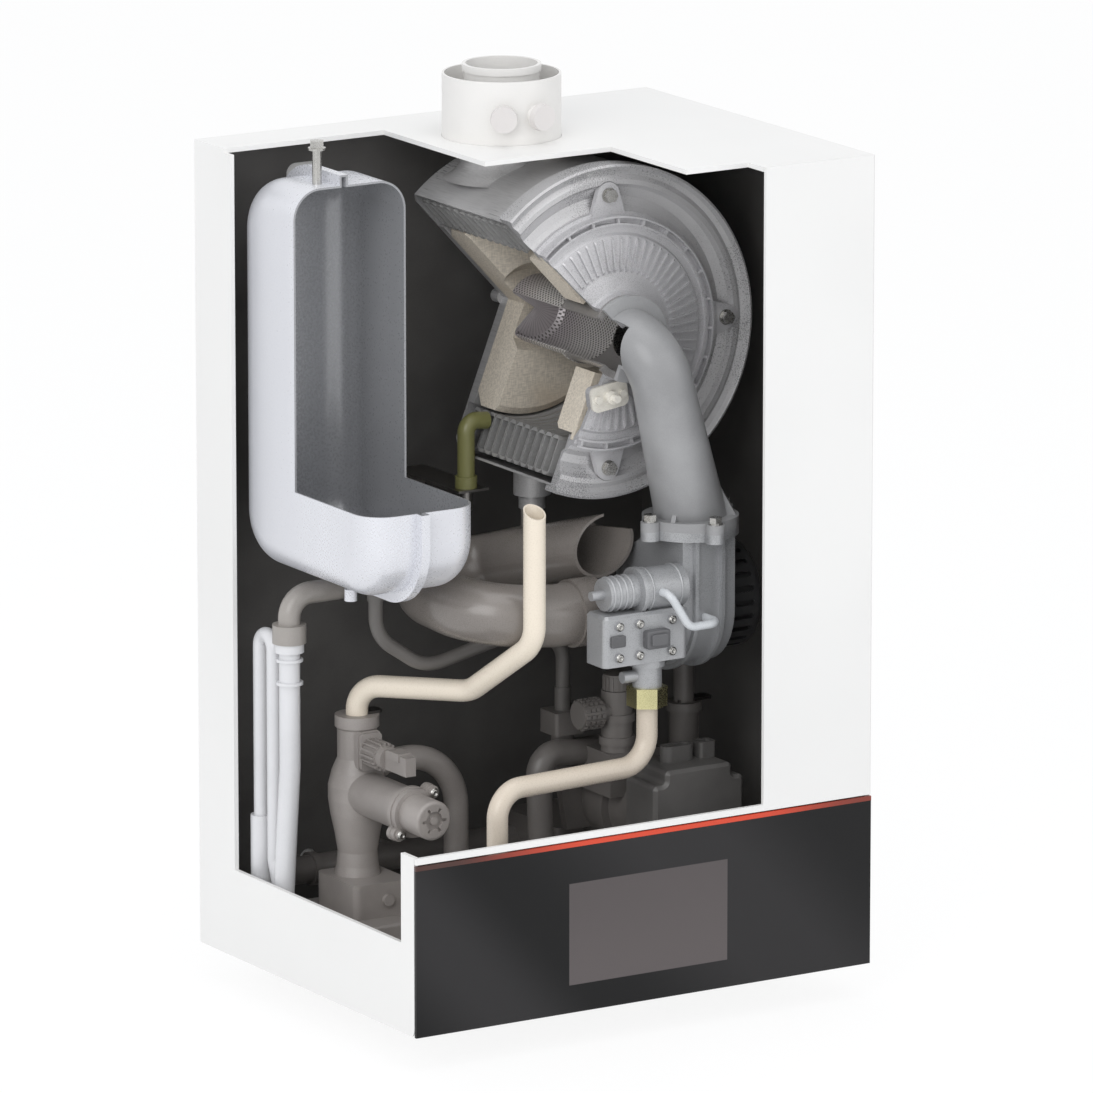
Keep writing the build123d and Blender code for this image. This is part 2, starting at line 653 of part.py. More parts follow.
with BuildPart() as hx_coil:
    with BuildSketch(section_plane(CUT_TO)) as windings:
        for turn in range(COIL_TURNS):
            rear = COIL_REAR + turn * COIL_PITCH
            Polygon(
                (COIL_IN_R + WINDING_BEVEL, rear),
                (COIL_OUT_R - WINDING_BEVEL, rear),
                (COIL_OUT_R, rear + WINDING_BEVEL),
                (COIL_OUT_R, rear + WINDING_W - WINDING_BEVEL),
                (COIL_OUT_R - WINDING_BEVEL, rear + WINDING_W),
                (COIL_IN_R + WINDING_BEVEL, rear + WINDING_W),
                (COIL_IN_R, rear + WINDING_W - WINDING_BEVEL),
                (COIL_IN_R, rear + WINDING_BEVEL),
                align=None,
            )
    revolve(windings.sketch, axis=HX_AXIS, revolution_arc=KEPT_ARC)
    for angle in SPACER_ANGLES:
        with BuildSketch(section_plane(angle)) as spacer:
            with Locations((COIL_MID_R, COIL_REAR + WINDING_W / 2)):
                Rectangle(
                    COIL_SPAN - 14.0,
                    (COIL_TURNS - 1) * COIL_PITCH,
                    align=(Align.CENTER, Align.MIN),
                )
        extrude(spacer.sketch, amount=SPACER_W / 2, both=True)
    for angle in (CUT_TO, CUT_FROM):
        inward = 1 if angle == CUT_TO else -1
        with BuildSketch(section_plane(angle)) as bores:
            for turn in range(COIL_TURNS):
                with Locations((COIL_MID_R, COIL_REAR + turn * COIL_PITCH + WINDING_W / 2)):
                    Rectangle(COIL_SPAN - 2 * WINDING_BEVEL, WINDING_W - 2 * TUBE_WALL)
        revolve(bores.sketch, axis=HX_AXIS, revolution_arc=inward * 6.0, mode=Mode.SUBTRACT)
hx_coil.part.label = "hx_coil"
export_step(hx_coil.part, "parts/hx_coil.step")

# Rear insulation: a dished disc that fills the coil's rear windings
with BuildPart() as rear_insulation:
    with BuildSketch(section_plane(CUT_TO)):
        Polygon(
            (0, REAR_INS_BACK),
            (REAR_INS_R - 12.0, REAR_INS_BACK),
            (REAR_INS_R - CONTACT_GAP, REAR_INS_BACK + 12.0),
            (REAR_INS_R - CONTACT_GAP, REAR_INS_FRONT - 4.0),
            (REAR_INS_R - 6.0, REAR_INS_FRONT),
            (38.0, REAR_INS_FRONT),
            (30.0, REAR_INS_FRONT - 12.0),
            (0, REAR_INS_FRONT - 12.0),
            align=None,
        )
    revolve(axis=HX_AXIS, revolution_arc=KEPT_ARC)
rear_insulation.part.label = "rear_insulation"
export_step(rear_insulation.part, "parts/rear_insulation.step")

# Steel rear plate between the jacket's rear wall and the insulation
with BuildPart() as hx_rear_plate:
    with BuildSketch(section_plane(CUT_TO)):
        Polygon(
            (0, JACKET_REAR + JACKET_T),
            (REAR_INS_R, JACKET_REAR + JACKET_T),
            (REAR_INS_R, REAR_INS_BACK),
            (0, REAR_INS_BACK),
            align=None,
        )
    revolve(axis=HX_AXIS, revolution_arc=KEPT_ARC)
hx_rear_plate.part.label = "hx_rear_plate"
export_step(hx_rear_plate.part, "parts/hx_rear_plate.step")

# Front dish: the stamped plate that closes the jacket, with its rolled rim and bolt bosses
DISH_BOLT_R = 3.0
BOSS_R = 8.0

with BuildPart() as front_dish:
    with BuildSketch(section_plane(CUT_TO)):
        Polygon(
            (JACKET_R + CONTACT_GAP, JACKET_FRONT - 6.0),
            (DISH_R, JACKET_FRONT - 6.0),
            (DISH_R, BOLT_FACE + 6.0),
            (DISH_R - 2.0, BOLT_FACE + 7.0),
            (DISH_R - 5.0, BOLT_FACE + 3.0),
            (DISH_R - 9.0, BOLT_FACE + 1.0),
            (DISH_R - 13.0, BOLT_FACE + 4.0),
            (DISH_R - 17.0, BOLT_FACE + 4.0),
            (DISH_R - 20.0, BOLT_FACE),
            (DISH_R - 28.0, BOLT_FACE - 3.5),
            (DOOR_R + 8.0, BOLT_FACE - 2.5),
            (DOOR_R + 4.0, BOLT_FACE),
            (COIL_IN_R - 4.0, BOLT_FACE),
            (COIL_IN_R - 4.0, BOLT_FACE - DISH_T),
            (DOOR_R + 4.0, BOLT_FACE - DISH_T),
            (DOOR_R + 8.0, JACKET_FRONT),
            (JACKET_R + CONTACT_GAP, JACKET_FRONT),
            align=None,
        )
    revolve(axis=HX_AXIS, revolution_arc=KEPT_ARC)
    for angle in BOLT_ANGLES:
        x, z = at_exchanger(BOLT_CIRCLE_R, angle)
        level_bar(x, z, JACKET_FRONT, BOLT_FACE, BOSS_R)
        level_bar(x, z, JACKET_FRONT, BOLT_FACE, DISH_BOLT_R, mode=Mode.SUBTRACT)
        level_bar(x, z, BOLT_FACE, BOLT_FACE + EAR_T + 3.0, EAR_R + 0.5, mode=Mode.SUBTRACT)
front_dish.part.label = "front_dish"
export_step(front_dish.part, "parts/front_dish.step")

# Burner door: an aluminium casting with a rim groove, short cross ribs, cooling fins,
# three bolt ears and the neck that takes the mixing duct
DOOR_PLATE_T = 4.0

with BuildPart() as burner_door:
    with BuildSketch(section_plane(CUT_TO)):
        Polygon(
            (DOOR_R + 3.0, BOLT_FACE),
            (DOOR_R + 3.0, BOLT_FACE + 3.0),
            (DOOR_R, BOLT_FACE + 4.0),
            (DOOR_R, DOOR_FACE),
            (DOOR_R - 1.5, DOOR_FACE),
            (DOOR_R - 1.5, DOOR_FACE - 6.0),
            (DOOR_R - 6.0, DOOR_FACE - 6.0),
            (DOOR_R - 6.0, DOOR_FACE - 1.0),
            (DOOR_R - 8.0, DOOR_FACE - 1.0),
            (DOOR_R - 8.0, DOOR_FACE - 3.0),
            (FIN_OUT_R + 2.0, DOOR_FACE - 3.0),
            (FIN_OUT_R, DOOR_FACE),
            (FIN_IN_R, DOOR_FACE + 3.5),
            (NECK_R + 1.5, DOOR_FACE + 7.0),
            (NECK_R, DOOR_FACE + 10.0),
            (NECK_R, NECK_FACE),
            (NECK_BORE_R, NECK_FACE),
            (NECK_BORE_R, DOOR_FACE + 3.0),
            (FIN_IN_R, DOOR_FACE - 0.5),
            (FIN_OUT_R, DOOR_FACE - DOOR_PLATE_T),
            (DOOR_R - 7.0, DOOR_FACE - 9.0),
            (DOOR_R - 4.0, DOOR_FACE - 9.0),
            (DOOR_R - 4.0, BOLT_FACE),
            align=None,
        )
    revolve(axis=HX_AXIS, revolution_arc=KEPT_ARC)
    fin_count = int((KEPT_ARC - FIN_PITCH) / FIN_PITCH)
    fin_first = CUT_TO + (KEPT_ARC - fin_count * FIN_PITCH) / 2
    for fin in range(fin_count + 1):
        with BuildSketch(section_plane(fin_first + fin * FIN_PITCH)) as blade:
            Polygon(
                (FIN_IN_R, DOOR_FACE + 2.5),
                (FIN_IN_R + 4.0, DOOR_FACE + 3.0 + FIN_H),
                (FIN_OUT_R - 3.0, DOOR_FACE + FIN_H),
                (FIN_OUT_R, DOOR_FACE - 1.0),
                align=None,
            )
        extrude(blade.sketch, amount=FIN_T / 2, both=True)
    rib_count = int((KEPT_ARC - 6.0) / RIB_PITCH)
    for rib in range(rib_count + 1):
        with BuildSketch(section_plane(CUT_TO + 3.0 + rib * RIB_PITCH)) as bridge:
            Polygon(
                (DOOR_R - 6.5, DOOR_FACE - 6.5),
                (DOOR_R - 6.5, DOOR_FACE - 1.5),
                (DOOR_R - 1.0, DOOR_FACE - 1.5),
                (DOOR_R - 1.0, DOOR_FACE - 6.5),
                align=None,
            )
        extrude(bridge.sketch, amount=1.2, both=True)
    for angle in BOLT_ANGLES:
        turn = radians(angle)
        ear_plane = Plane(
            origin=(HX_X, -BOLT_FACE, HX_Z),
            x_dir=(cos(turn), 0, sin(turn)),
            z_dir=(0, -1, 0),
        )
        with BuildSketch(ear_plane) as ear:
            with BuildLine():
                Line((DOOR_R - 2.0, -EAR_ROOT / 2), (BOLT_CIRCLE_R + 4.0, -EAR_R + 0.8))
                ThreePointArc(
                    (BOLT_CIRCLE_R + 4.0, -EAR_R + 0.8),
                    (BOLT_CIRCLE_R + EAR_R, 0),
                    (BOLT_CIRCLE_R + 4.0, EAR_R - 0.8),
                )
                Line((BOLT_CIRCLE_R + 4.0, EAR_R - 0.8), (DOOR_R - 2.0, EAR_ROOT / 2))
                Line((DOOR_R - 2.0, EAR_ROOT / 2), (DOOR_R - 2.0, -EAR_ROOT / 2))
            make_face()
            with Locations((BOLT_CIRCLE_R, 0)):
                Circle(DISH_BOLT_R + 0.3, mode=Mode.SUBTRACT)
        extrude(ear.sketch, amount=EAR_T)
    electrode_x, electrode_z = at_exchanger(52.0, 258.0)
    with BuildSketch(front_plane(DOOR_FACE, electrode_x, electrode_z)) as pad:
        RectangleRounded(34.0, 20.0, 5.0, rotation=8)
    extrude(pad.sketch, amount=8.0)
    level_bar(electrode_x, electrode_z, BOLT_FACE, DOOR_FACE + 9.0, 3.6, mode=Mode.SUBTRACT)
burner_door.part.label = "burner_door"
export_step(burner_door.part, "parts/burner_door.step")

# Front insulation ring behind the door
INS_FRONT = DOOR_FACE - 9.0
with BuildPart() as front_insulation:
    with BuildSketch(section_plane(CUT_TO)):
        Polygon(
            (FRONT_INS_IN_R, INS_FRONT - FRONT_INS_T),
            (FRONT_INS_R - 4.0, INS_FRONT - FRONT_INS_T),
            (FRONT_INS_R, INS_FRONT - FRONT_INS_T + 4.0),
            (FRONT_INS_R, BOLT_FACE + CONTACT_GAP),
            (DOOR_R - 4.0 - CONTACT_GAP, BOLT_FACE + CONTACT_GAP),
            (DOOR_R - 4.0 - CONTACT_GAP, INS_FRONT),
            (FRONT_INS_IN_R, INS_FRONT),
            align=None,
        )
    revolve(axis=HX_AXIS, revolution_arc=KEPT_ARC)
    level_bar(electrode_x, electrode_z, 0, CASE_D, 4.6, mode=Mode.SUBTRACT)
front_insulation.part.label = "front_insulation"
export_step(front_insulation.part, "parts/front_insulation.step")

# Ignition electrode: flange with two screws, ceramic rod and the bent tip beside the burner
with BuildPart() as ignition_electrode:
    pad_face = DOOR_FACE + 8.0
    with BuildSketch(front_plane(pad_face, electrode_x, electrode_z)) as flange:
        RectangleRounded(36.0, 22.0, 6.0, rotation=8)
    extrude(flange.sketch, amount=3.0)
    level_bar(electrode_x, electrode_z, INS_FRONT - FRONT_INS_T - 2.0, pad_face + 16.0, 3.3)
    level_bar(electrode_x, electrode_z, pad_face, pad_face + 10.0, 5.5)
    for side in (-1, 1):
        x = electrode_x + side * 12.0 * cos(radians(8))
        z = electrode_z + side * 12.0 * sin(radians(8))
        level_bar(x, z, pad_face, pad_face + 6.0, 3.4)
    level_bar(electrode_x, electrode_z, INS_FRONT - FRONT_INS_T - 12.0, INS_FRONT, 1.0)
ignition_electrode.part.label = "ignition_electrode"
export_step(ignition_electrode.part, "parts/ignition_electrode.step")

# Burner: the perforated cylinder that stands back from the door, cut open on the left
with BuildPart() as burner_cylinder:
    with BuildSketch(section_plane(BURNER_CUT_TO)):
        Polygon(
            (0, BURNER_BACK),
            (BURNER_R - 5.0, BURNER_BACK),
            (BURNER_R, BURNER_BACK + 5.0),
            (BURNER_R, BURNER_FRONT),
            (BURNER_R + 3.0, BURNER_FRONT),
            (BURNER_R + 3.0, BURNER_FRONT + 2.0),
            (BURNER_R - BURNER_T, BURNER_FRONT + 2.0),
            (BURNER_R - BURNER_T, BURNER_BACK + 5.0),
            (BURNER_R - 5.5, BURNER_BACK + BURNER_T),
            (0, BURNER_BACK + BURNER_T),
            align=None,
        )
    revolve(axis=HX_AXIS, revolution_arc=BURNER_ARC)
burner_cylinder.part.label = "burner_cylinder"
export_step(burner_cylinder.part, "parts/burner_cylinder.step")

# Burner tube: carries the cylinder from the door's neck
TUBE_R = NECK_BORE_R - CONTACT_GAP
with BuildPart() as burner_tube:
    with BuildSketch(section_plane(BURNER_CUT_TO)):
        Polygon(
            (TUBE_R - TUBE_T, BURNER_FRONT + 2.0),
            (TUBE_R + 1.5, BURNER_FRONT + 2.0),
            (TUBE_R + 1.5, BURNER_FRONT + 4.0),
            (TUBE_R, BURNER_FRONT + 4.0),
            (TUBE_R, NECK_FACE),
            (NECK_R - 1.0, NECK_FACE),
            (NECK_R - 1.0, TUBE_FRONT),
            (TUBE_R - TUBE_T, TUBE_FRONT),
            align=None,
        )
    revolve(axis=HX_AXIS, revolution_arc=BURNER_ARC)
burner_tube.part.label = "burner_tube"
export_step(burner_tube.part, "parts/burner_tube.step")

# Non-return flap: its seat frame inside the duct's neck, and the disc that hangs on its pin
FRAME_R = DUCT_R - DUCT_T - CONTACT_GAP
SEAT_R = FRAME_R - 7.0
SEAT_DEPTH = FLAP_FACE + FLAP_T + CONTACT_GAP
FLAP_PIN_Z = HX_Z + FRAME_R - 4.2
FLAP_PIN_DEPTH = FLAP_FACE - 0.8
LUG_X = 8.5
LUG_T = 2.0
LUG_R = 2.2

with BuildPart() as flap_frame:
    with BuildSketch(section_plane(CUT_TO)):
        Polygon(
            (SEAT_R, SEAT_DEPTH),
            (FRAME_R, SEAT_DEPTH),
            (FRAME_R, FLAP_FRAME_FRONT),
            (FRAME_R - 3.0, FLAP_FRAME_FRONT),
            (FRAME_R - 3.0, SEAT_DEPTH + 4.0),
            (SEAT_R, SEAT_DEPTH + 4.0),
            align=None,
        )
    revolve(axis=HX_AXIS, revolution_arc=KEPT_ARC)
    for side in (-1, 1):
        with BuildSketch(side_plane(HX_X + side * LUG_X + LUG_T / 2)) as lug:
            Polygon(
                (FLAP_PIN_DEPTH - 2.0, FLAP_PIN_Z - LUG_R),
                (SEAT_DEPTH + 1.0, FLAP_PIN_Z - LUG_R),
                (SEAT_DEPTH + 1.0, FLAP_PIN_Z),
                (FLAP_PIN_DEPTH - 2.0, FLAP_PIN_Z),
                align=None,
            )
            with Locations((FLAP_PIN_DEPTH, FLAP_PIN_Z)):
                Circle(LUG_R)
                Circle(FLAP_PIN_R + RUN_FIT, mode=Mode.SUBTRACT)
        extrude(lug.sketch, amount=LUG_T)
flap_frame.part.label = "flap_frame"
export_step(flap_frame.part, "parts/flap_frame.step")

with BuildPart() as flap_disc:
    level_bar(HX_X, HX_Z, FLAP_FACE, FLAP_FACE + FLAP_T, FLAP_R - 2.6)
    cross_bar(FLAP_PIN_DEPTH, FLAP_PIN_Z, HX_X - LUG_X - LUG_T, HX_X + LUG_X + LUG_T, FLAP_PIN_R)
    with BuildSketch(front_plane(FLAP_FACE, HX_X, FLAP_PIN_Z)) as knuckle:
        Rectangle(2 * (LUG_X - LUG_T / 2 - CONTACT_GAP), 8.0, align=(Align.CENTER, Align.MAX))
    extrude(knuckle.sketch, amount=FLAP_T)
flap_disc.part.label = "flap_disc"
export_step(flap_disc.part, "parts/flap_disc.step")

# Mixing duct: an elbow out of the door's neck and a widening run down to the fan's outlet.
# The wedge of the exchanger also opens its neck, so that the flap shows.
DUCT_BACK = TUBE_FRONT
DUCT_FOOT_Z = OUTLET_TOP + DUCT_FLANGE_T
DUCT_START = Vector(HX_X, -DUCT_BACK, HX_Z)
DUCT_CORNER = Vector(HX_X, -DUCT_FRONT, HX_Z)
DUCT_FOOT = Vector(OUTLET_X, -OUTLET_DEPTH, DUCT_FOOT_Z)
DUCT_FALL = (DUCT_FOOT - DUCT_CORNER).normalized()
DUCT_BEND_END = DUCT_CORNER + DUCT_FALL * 42.0
EAR_BOLT_R = 3.0
DUCT_OVERRUN = 16.0
NECK_CUT_FRONT = 288.0


def duct_body(shrink, mode=Mode.ADD):
    """The duct's outside, or its bore when shrunk by the wall: elbow first, then the run down."""
    bent_rod((DUCT_START, DUCT_CORNER, DUCT_BEND_END), DUCT_BEND_R, DUCT_R - shrink, mode=mode)
    run = (DUCT_FOOT - DUCT_BEND_END).length + DUCT_OVERRUN
    spoke = DUCT_FALL.cross(Vector(0, 1, 0)).normalized()
    with BuildSketch(Plane(DUCT_BEND_END, x_dir=spoke, z_dir=spoke.cross(DUCT_FALL))) as half:
        Polygon((0, 0), (DUCT_R - shrink, 0), (DUCT_FOOT_R - shrink, run), (0, run), align=None)
    revolve(half.sketch, axis=Axis(DUCT_BEND_END, DUCT_FALL), mode=mode)


def flange_outline(bottom, height):
    """Round flange with three bolt ears, for the duct's foot and the fan's outlet."""
    with BuildSketch(Plane.XY.offset(bottom)) as outline:
        with Locations((OUTLET_X, -OUTLET_DEPTH)):
            Circle(DUCT_FLANGE_R)
            for angle in DUCT_BOLT_ANGLES:
                with PolarLocations(DUCT_BOLT_R, 1, start_angle=angle):
                    Circle(8.0)
            for angle in DUCT_BOLT_ANGLES:
                with PolarLocations(DUCT_BOLT_R, 1, start_angle=angle):
                    Circle(EAR_BOLT_R + CONTACT_GAP, mode=Mode.SUBTRACT)
    extrude(outline.sketch, amount=height)


with BuildPart() as mixing_duct:
    duct_body(0.0)
    upright_bar(OUTLET_X, OUTLET_DEPTH, OUTLET_TOP - 20.0, DUCT_FOOT_Z, 60.0, mode=Mode.SUBTRACT)
    level_bar(HX_X, HX_Z, DUCT_BACK, DUCT_BACK + 5.0, NECK_R)
    flange_outline(OUTLET_TOP, DUCT_FLANGE_T)
    for angle in (100.0, 215.0, 325.0):
        turn = radians(angle)
        web_plane = Plane(
            origin=(OUTLET_X, -OUTLET_DEPTH, DUCT_FOOT_Z),
            x_dir=(cos(turn), sin(turn), 0),
            z_dir=(sin(turn), -cos(turn), 0),
        )
        with BuildSketch(web_plane) as web:
            Polygon((24.0, -1.0), (DUCT_FLANGE_R - 2.0, -1.0), (24.0, 26.0), align=None)
        extrude(web.sketch, amount=2.0, both=True)
    duct_body(DUCT_T, mode=Mode.SUBTRACT)
    upright_bar(OUTLET_X, OUTLET_DEPTH, OUTLET_TOP, DUCT_FOOT_Z, DUCT_FOOT_R - DUCT_T, mode=Mode.SUBTRACT)
    level_bar(HX_X, HX_Z, DUCT_BACK, FLAP_FRAME_FRONT + 1.0, FRAME_R + 2 * CONTACT_GAP, mode=Mode.SUBTRACT)
    with BuildSketch(section_plane(CUT_FROM)) as wedge:
        Polygon(
            (0, DUCT_BACK - 1.0),
            (2 * NECK_R, DUCT_BACK - 1.0),
            (2 * NECK_R, NECK_CUT_FRONT),
            (0, NECK_CUT_FRONT),
            align=None,
        )
    revolve(wedge.sketch, axis=HX_AXIS, revolution_arc=CUT_TO - CUT_FROM, mode=Mode.SUBTRACT)
mixing_duct.part.label = "mixing_duct"
export_step(mixing_duct.part, "parts/mixing_duct.step")

# Flange bolts: three through the door's ears, three through the duct's flange
BOLT_HEAD_AF = 10.0
BOLT_HEAD_H = 5.0

with BuildPart() as flange_bolts:
    for angle in BOLT_ANGLES:
        x, z = at_exchanger(BOLT_CIRCLE_R, angle)
        face = BOLT_FACE + EAR_T
        level_bar(x, z, JACKET_FRONT + 0.2, face, DISH_BOLT_R - 0.1)
        level_bar(x, z, face, face + 1.5, 6.5)
        with BuildSketch(front_plane(face + 1.5, x, z)) as head:
            RegularPolygon(BOLT_HEAD_AF / 2, 6, major_radius=False)
        extrude(head.sketch, amount=BOLT_HEAD_H)
    for angle in DUCT_BOLT_ANGLES:
        x = OUTLET_X + DUCT_BOLT_R * cos(radians(angle))
        depth = OUTLET_DEPTH - DUCT_BOLT_R * sin(radians(angle))
        upright_bar(x, depth, OUTLET_TOP - 8.0, DUCT_FOOT_Z, EAR_BOLT_R)
        upright_bar(x, depth, DUCT_FOOT_Z, DUCT_FOOT_Z + 1.2, 6.0)
        with BuildSketch(Plane.XY.offset(DUCT_FOOT_Z + 1.2)) as head:
            with Locations((x, -depth)):
                RegularPolygon(BOLT_HEAD_AF / 2, 6, major_radius=False)
        extrude(head.sketch, amount=BOLT_HEAD_H)
flange_bolts.part.label = "flange_bolts"
export_step(flange_bolts.part, "parts/flange_bolts.step")

# Fan scroll: eccentric housing with the upward outlet, two clamp ribs and the inlet nozzle
SCROLL_DEPTH = FAN_DEPTH + SCROLL_SHIFT
SCROLL_FRONT = SCROLL_DEPTH + SCROLL_R
OUTLET_BACK = OUTLET_DEPTH - (SCROLL_FRONT - OUTLET_DEPTH)
OUTLET_FLANGE_T = 8.0
INLET_NOZZLE_R = INTAKE_R - INTAKE_T - CONTACT_GAP
MOTOR_RIGHT = FAN_RIGHT + MOTOR_W
CLAMP_RIBS = (87.0, 113.0)


def scroll_slab(left, right, grow, mode=Mode.ADD):
    """Slab of the scroll's outline between two places along its shaft, grown all round."""
    with BuildSketch(side_plane(right)) as outline:
        with Locations((SCROLL_DEPTH, FAN_Z)):
            Circle(SCROLL_R + grow)
        Polygon(
            (OUTLET_BACK - grow, FAN_Z),
            (SCROLL_FRONT + grow, FAN_Z),
            (SCROLL_FRONT + grow, OUTLET_TOP - OUTLET_FLANGE_T),
            (OUTLET_BACK - grow, OUTLET_TOP - OUTLET_FLANGE_T),
            align=None,
        )
    extrude(outline.sketch, amount=right - left, mode=mode)


with BuildPart() as fan_scroll:
    scroll_slab(FAN_LEFT, FAN_RIGHT, 0.0)
    for place in CLAMP_RIBS:
        scroll_slab(place - 1.8, place + 1.8, 4.0)
    flange_outline(OUTLET_TOP - OUTLET_FLANGE_T, OUTLET_FLANGE_T)
    cross_bar(FAN_DEPTH, FAN_Z, INLET_LEFT, FAN_LEFT, INLET_NOZZLE_R)
    scroll_slab(FAN_LEFT + SCROLL_WALL, FAN_RIGHT - SCROLL_WALL, -SCROLL_WALL, mode=Mode.SUBTRACT)
    upright_bar(
        OUTLET_X,
        OUTLET_DEPTH,
        OUTLET_TOP - OUTLET_FLANGE_T - SCROLL_WALL,
        OUTLET_TOP,
        DUCT_FOOT_R - DUCT_T - 7.0,
        mode=Mode.SUBTRACT,
    )
    cross_bar(FAN_DEPTH, FAN_Z, INLET_LEFT, FAN_LEFT + SCROLL_WALL, INLET_NOZZLE_R - 3.0, mode=Mode.SUBTRACT)
    cross_bar(FAN_DEPTH, FAN_Z, FAN_RIGHT - SCROLL_WALL, FAN_RIGHT, 9.0, mode=Mode.SUBTRACT)
fan_scroll.part.label = "fan_scroll"
export_step(fan_scroll.part, "parts/fan_scroll.step")

# Fan motor: a ventilated can on the scroll's right side
with BuildPart() as fan_motor:
    cross_bar(FAN_DEPTH, FAN_Z, FAN_RIGHT, MOTOR_RIGHT, MOTOR_R)
    fillet(fan_motor.faces().sort_by(Axis.X)[-1].edges(), radius=9.0)
    cross_bar(FAN_DEPTH, FAN_Z, FAN_RIGHT, FAN_RIGHT + 26.0, FAN_SHAFT_R + RUN_FIT, mode=Mode.SUBTRACT)
    for slot in range(11):
        turn = radians(-75.0 + slot * 15.0)
        slot_plane = Plane(
            origin=(FAN_RIGHT + 17.0, -FAN_DEPTH, FAN_Z),
            x_dir=(1, 0, 0),
            z_dir=(0, -cos(turn), sin(turn)),
        )
        with BuildSketch(slot_plane.offset(MOTOR_R - 4.0)) as vent:
            SlotOverall(20.0, 5.0)
        extrude(vent.sketch, amount=8.0, mode=Mode.SUBTRACT)
fan_motor.part.label = "fan_motor"
export_step(fan_motor.part, "parts/fan_motor.step")

# Fan impeller on its shaft
IMPELLER_BACK_X = FAN_RIGHT - SCROLL_WALL - 4.0

with BuildPart() as fan_impeller:
    cross_bar(FAN_DEPTH, FAN_Z, IMPELLER_BACK_X - 2.0, IMPELLER_BACK_X, IMPELLER_R)
    cross_bar(FAN_DEPTH, FAN_Z, IMPELLER_BACK_X - 12.0, FAN_RIGHT - 1.0, 8.0)
    cross_bar(FAN_DEPTH, FAN_Z, IMPELLER_BACK_X, FAN_RIGHT + 24.0, FAN_SHAFT_R)
    with BuildSketch(side_plane(IMPELLER_BACK_X - 2.0)) as blades:
        with Locations((FAN_DEPTH, FAN_Z)):
            with PolarLocations((IMPELLER_R + 16.0) / 2, BLADES):
                Rectangle(IMPELLER_R - 16.0, 1.6, rotation=32)
    extrude(blades.sketch, amount=IMPELLER_W)
    with BuildSketch(side_plane(IMPELLER_BACK_X - 2.0 - IMPELLER_W)) as shroud:
        with Locations((FAN_DEPTH, FAN_Z)):
            Circle(IMPELLER_R)
            Circle(22.0, mode=Mode.SUBTRACT)
    extrude(shroud.sketch, amount=1.6)
fan_impeller.part.label = "fan_impeller"
export_step(fan_impeller.part, "parts/fan_impeller.step")

# Gas valve: block, servo cylinder above it, outlet below it with the pressure test nipple
VALVE_LEFT, VALVE_RIGHT, VALVE_LOW, VALVE_HIGH = VALVE_BOX
VALVE_RIGHT = FAN_LEFT

with BuildPart() as gas_valve:
    with BuildSketch(Plane.XY.offset(VALVE_LOW)) as block:
        with Locations(((VALVE_LEFT + VALVE_RIGHT) / 2, -VALVE_DEPTH)):
            RectangleRounded(VALVE_RIGHT - VALVE_LEFT, VALVE_BOX_D, 5.0)
    extrude(block.sketch, amount=VALVE_HIGH - VALVE_LOW)
    chamfer(gas_valve.faces().sort_by(Axis.Z)[-1].edges(), length=2.5)
    cross_bar(VALVE_DEPTH, VALVE_TOP_Z, 0.0, 34.0, 14.0)
    cross_bar(VALVE_DEPTH, VALVE_TOP_Z, 34.0, VALVE_RIGHT, 18.0)
    cross_bar(VALVE_DEPTH, VALVE_TOP_Z, -12.0, 0.0, 4.0)
    cross_bar(VALVE_DEPTH, VALVE_TOP_Z, 30.0, 34.0, 20.0)
    upright_bar(GAS_X, VALVE_DEPTH, NUT_TOP, VALVE_LOW, 12.5)
    upright_bar(GAS_X, VALVE_DEPTH, VALVE_LOW - 6.0, VALVE_LOW, 15.0)
    cross_bar(VALVE_DEPTH, (NUT_TOP + VALVE_LOW) / 2 - 2.0, GAS_X - 25.0, GAS_X, 5.0)
    for column in (6.0, 26.0, 58.0):
        level_bar(column, VALVE_LOW + 8.0, VALVE_DEPTH, VALVE_DEPTH + VALVE_BOX_D / 2 + 2.0, 4.0)
        level_bar(column, VALVE_HIGH - 9.0, VALVE_DEPTH, VALVE_DEPTH + VALVE_BOX_D / 2 + 2.0, 4.0)
gas_valve.part.label = "gas_valve"
export_step(gas_valve.part, "parts/gas_valve.step")

# Brass union nut under the gas valve
with BuildPart() as union_nut:
    with BuildSketch(Plane.XY.offset(NUT_TOP - NUT_H)) as hexagon:
        with Locations((GAS_X, -VALVE_DEPTH)):
            RegularPolygon(NUT_AF / 2, 6, major_radius=False, rotation=28)
            Circle(GAS_PIPE_R + CONTACT_GAP, mode=Mode.SUBTRACT)
    extrude(hexagon.sketch, amount=NUT_H)
union_nut.part.label = "union_nut"
export_step(union_nut.part, "parts/union_nut.step")

# Gas pipe from the union nut, left past the pump and down to its connection
GAS_FLOOR_Z = 34.0

with BuildPart() as gas_pipe:
    bent_rod(
        (
            (GAS_X, -VALVE_DEPTH, NUT_TOP),
            (GAS_X, -VALVE_DEPTH, GAS_RUN_Z - 2.0),
            (GAS_DOWN_X, -GAS_DOWN_DEPTH, GAS_RUN_Z),
            (GAS_DOWN_X, -GAS_DOWN_DEPTH, GAS_FLOOR_Z),
            (STUB_XS[2], -STUB_DEPTH, GAS_FLOOR_Z),
            (STUB_XS[2], -STUB_DEPTH, 14.0),
        ),
        (26.0, 24.0, 20.0, 10.0),
        GAS_PIPE_R,
    )
gas_pipe.part.label = "gas_pipe"
export_step(gas_pipe.part, "parts/gas_pipe.step")

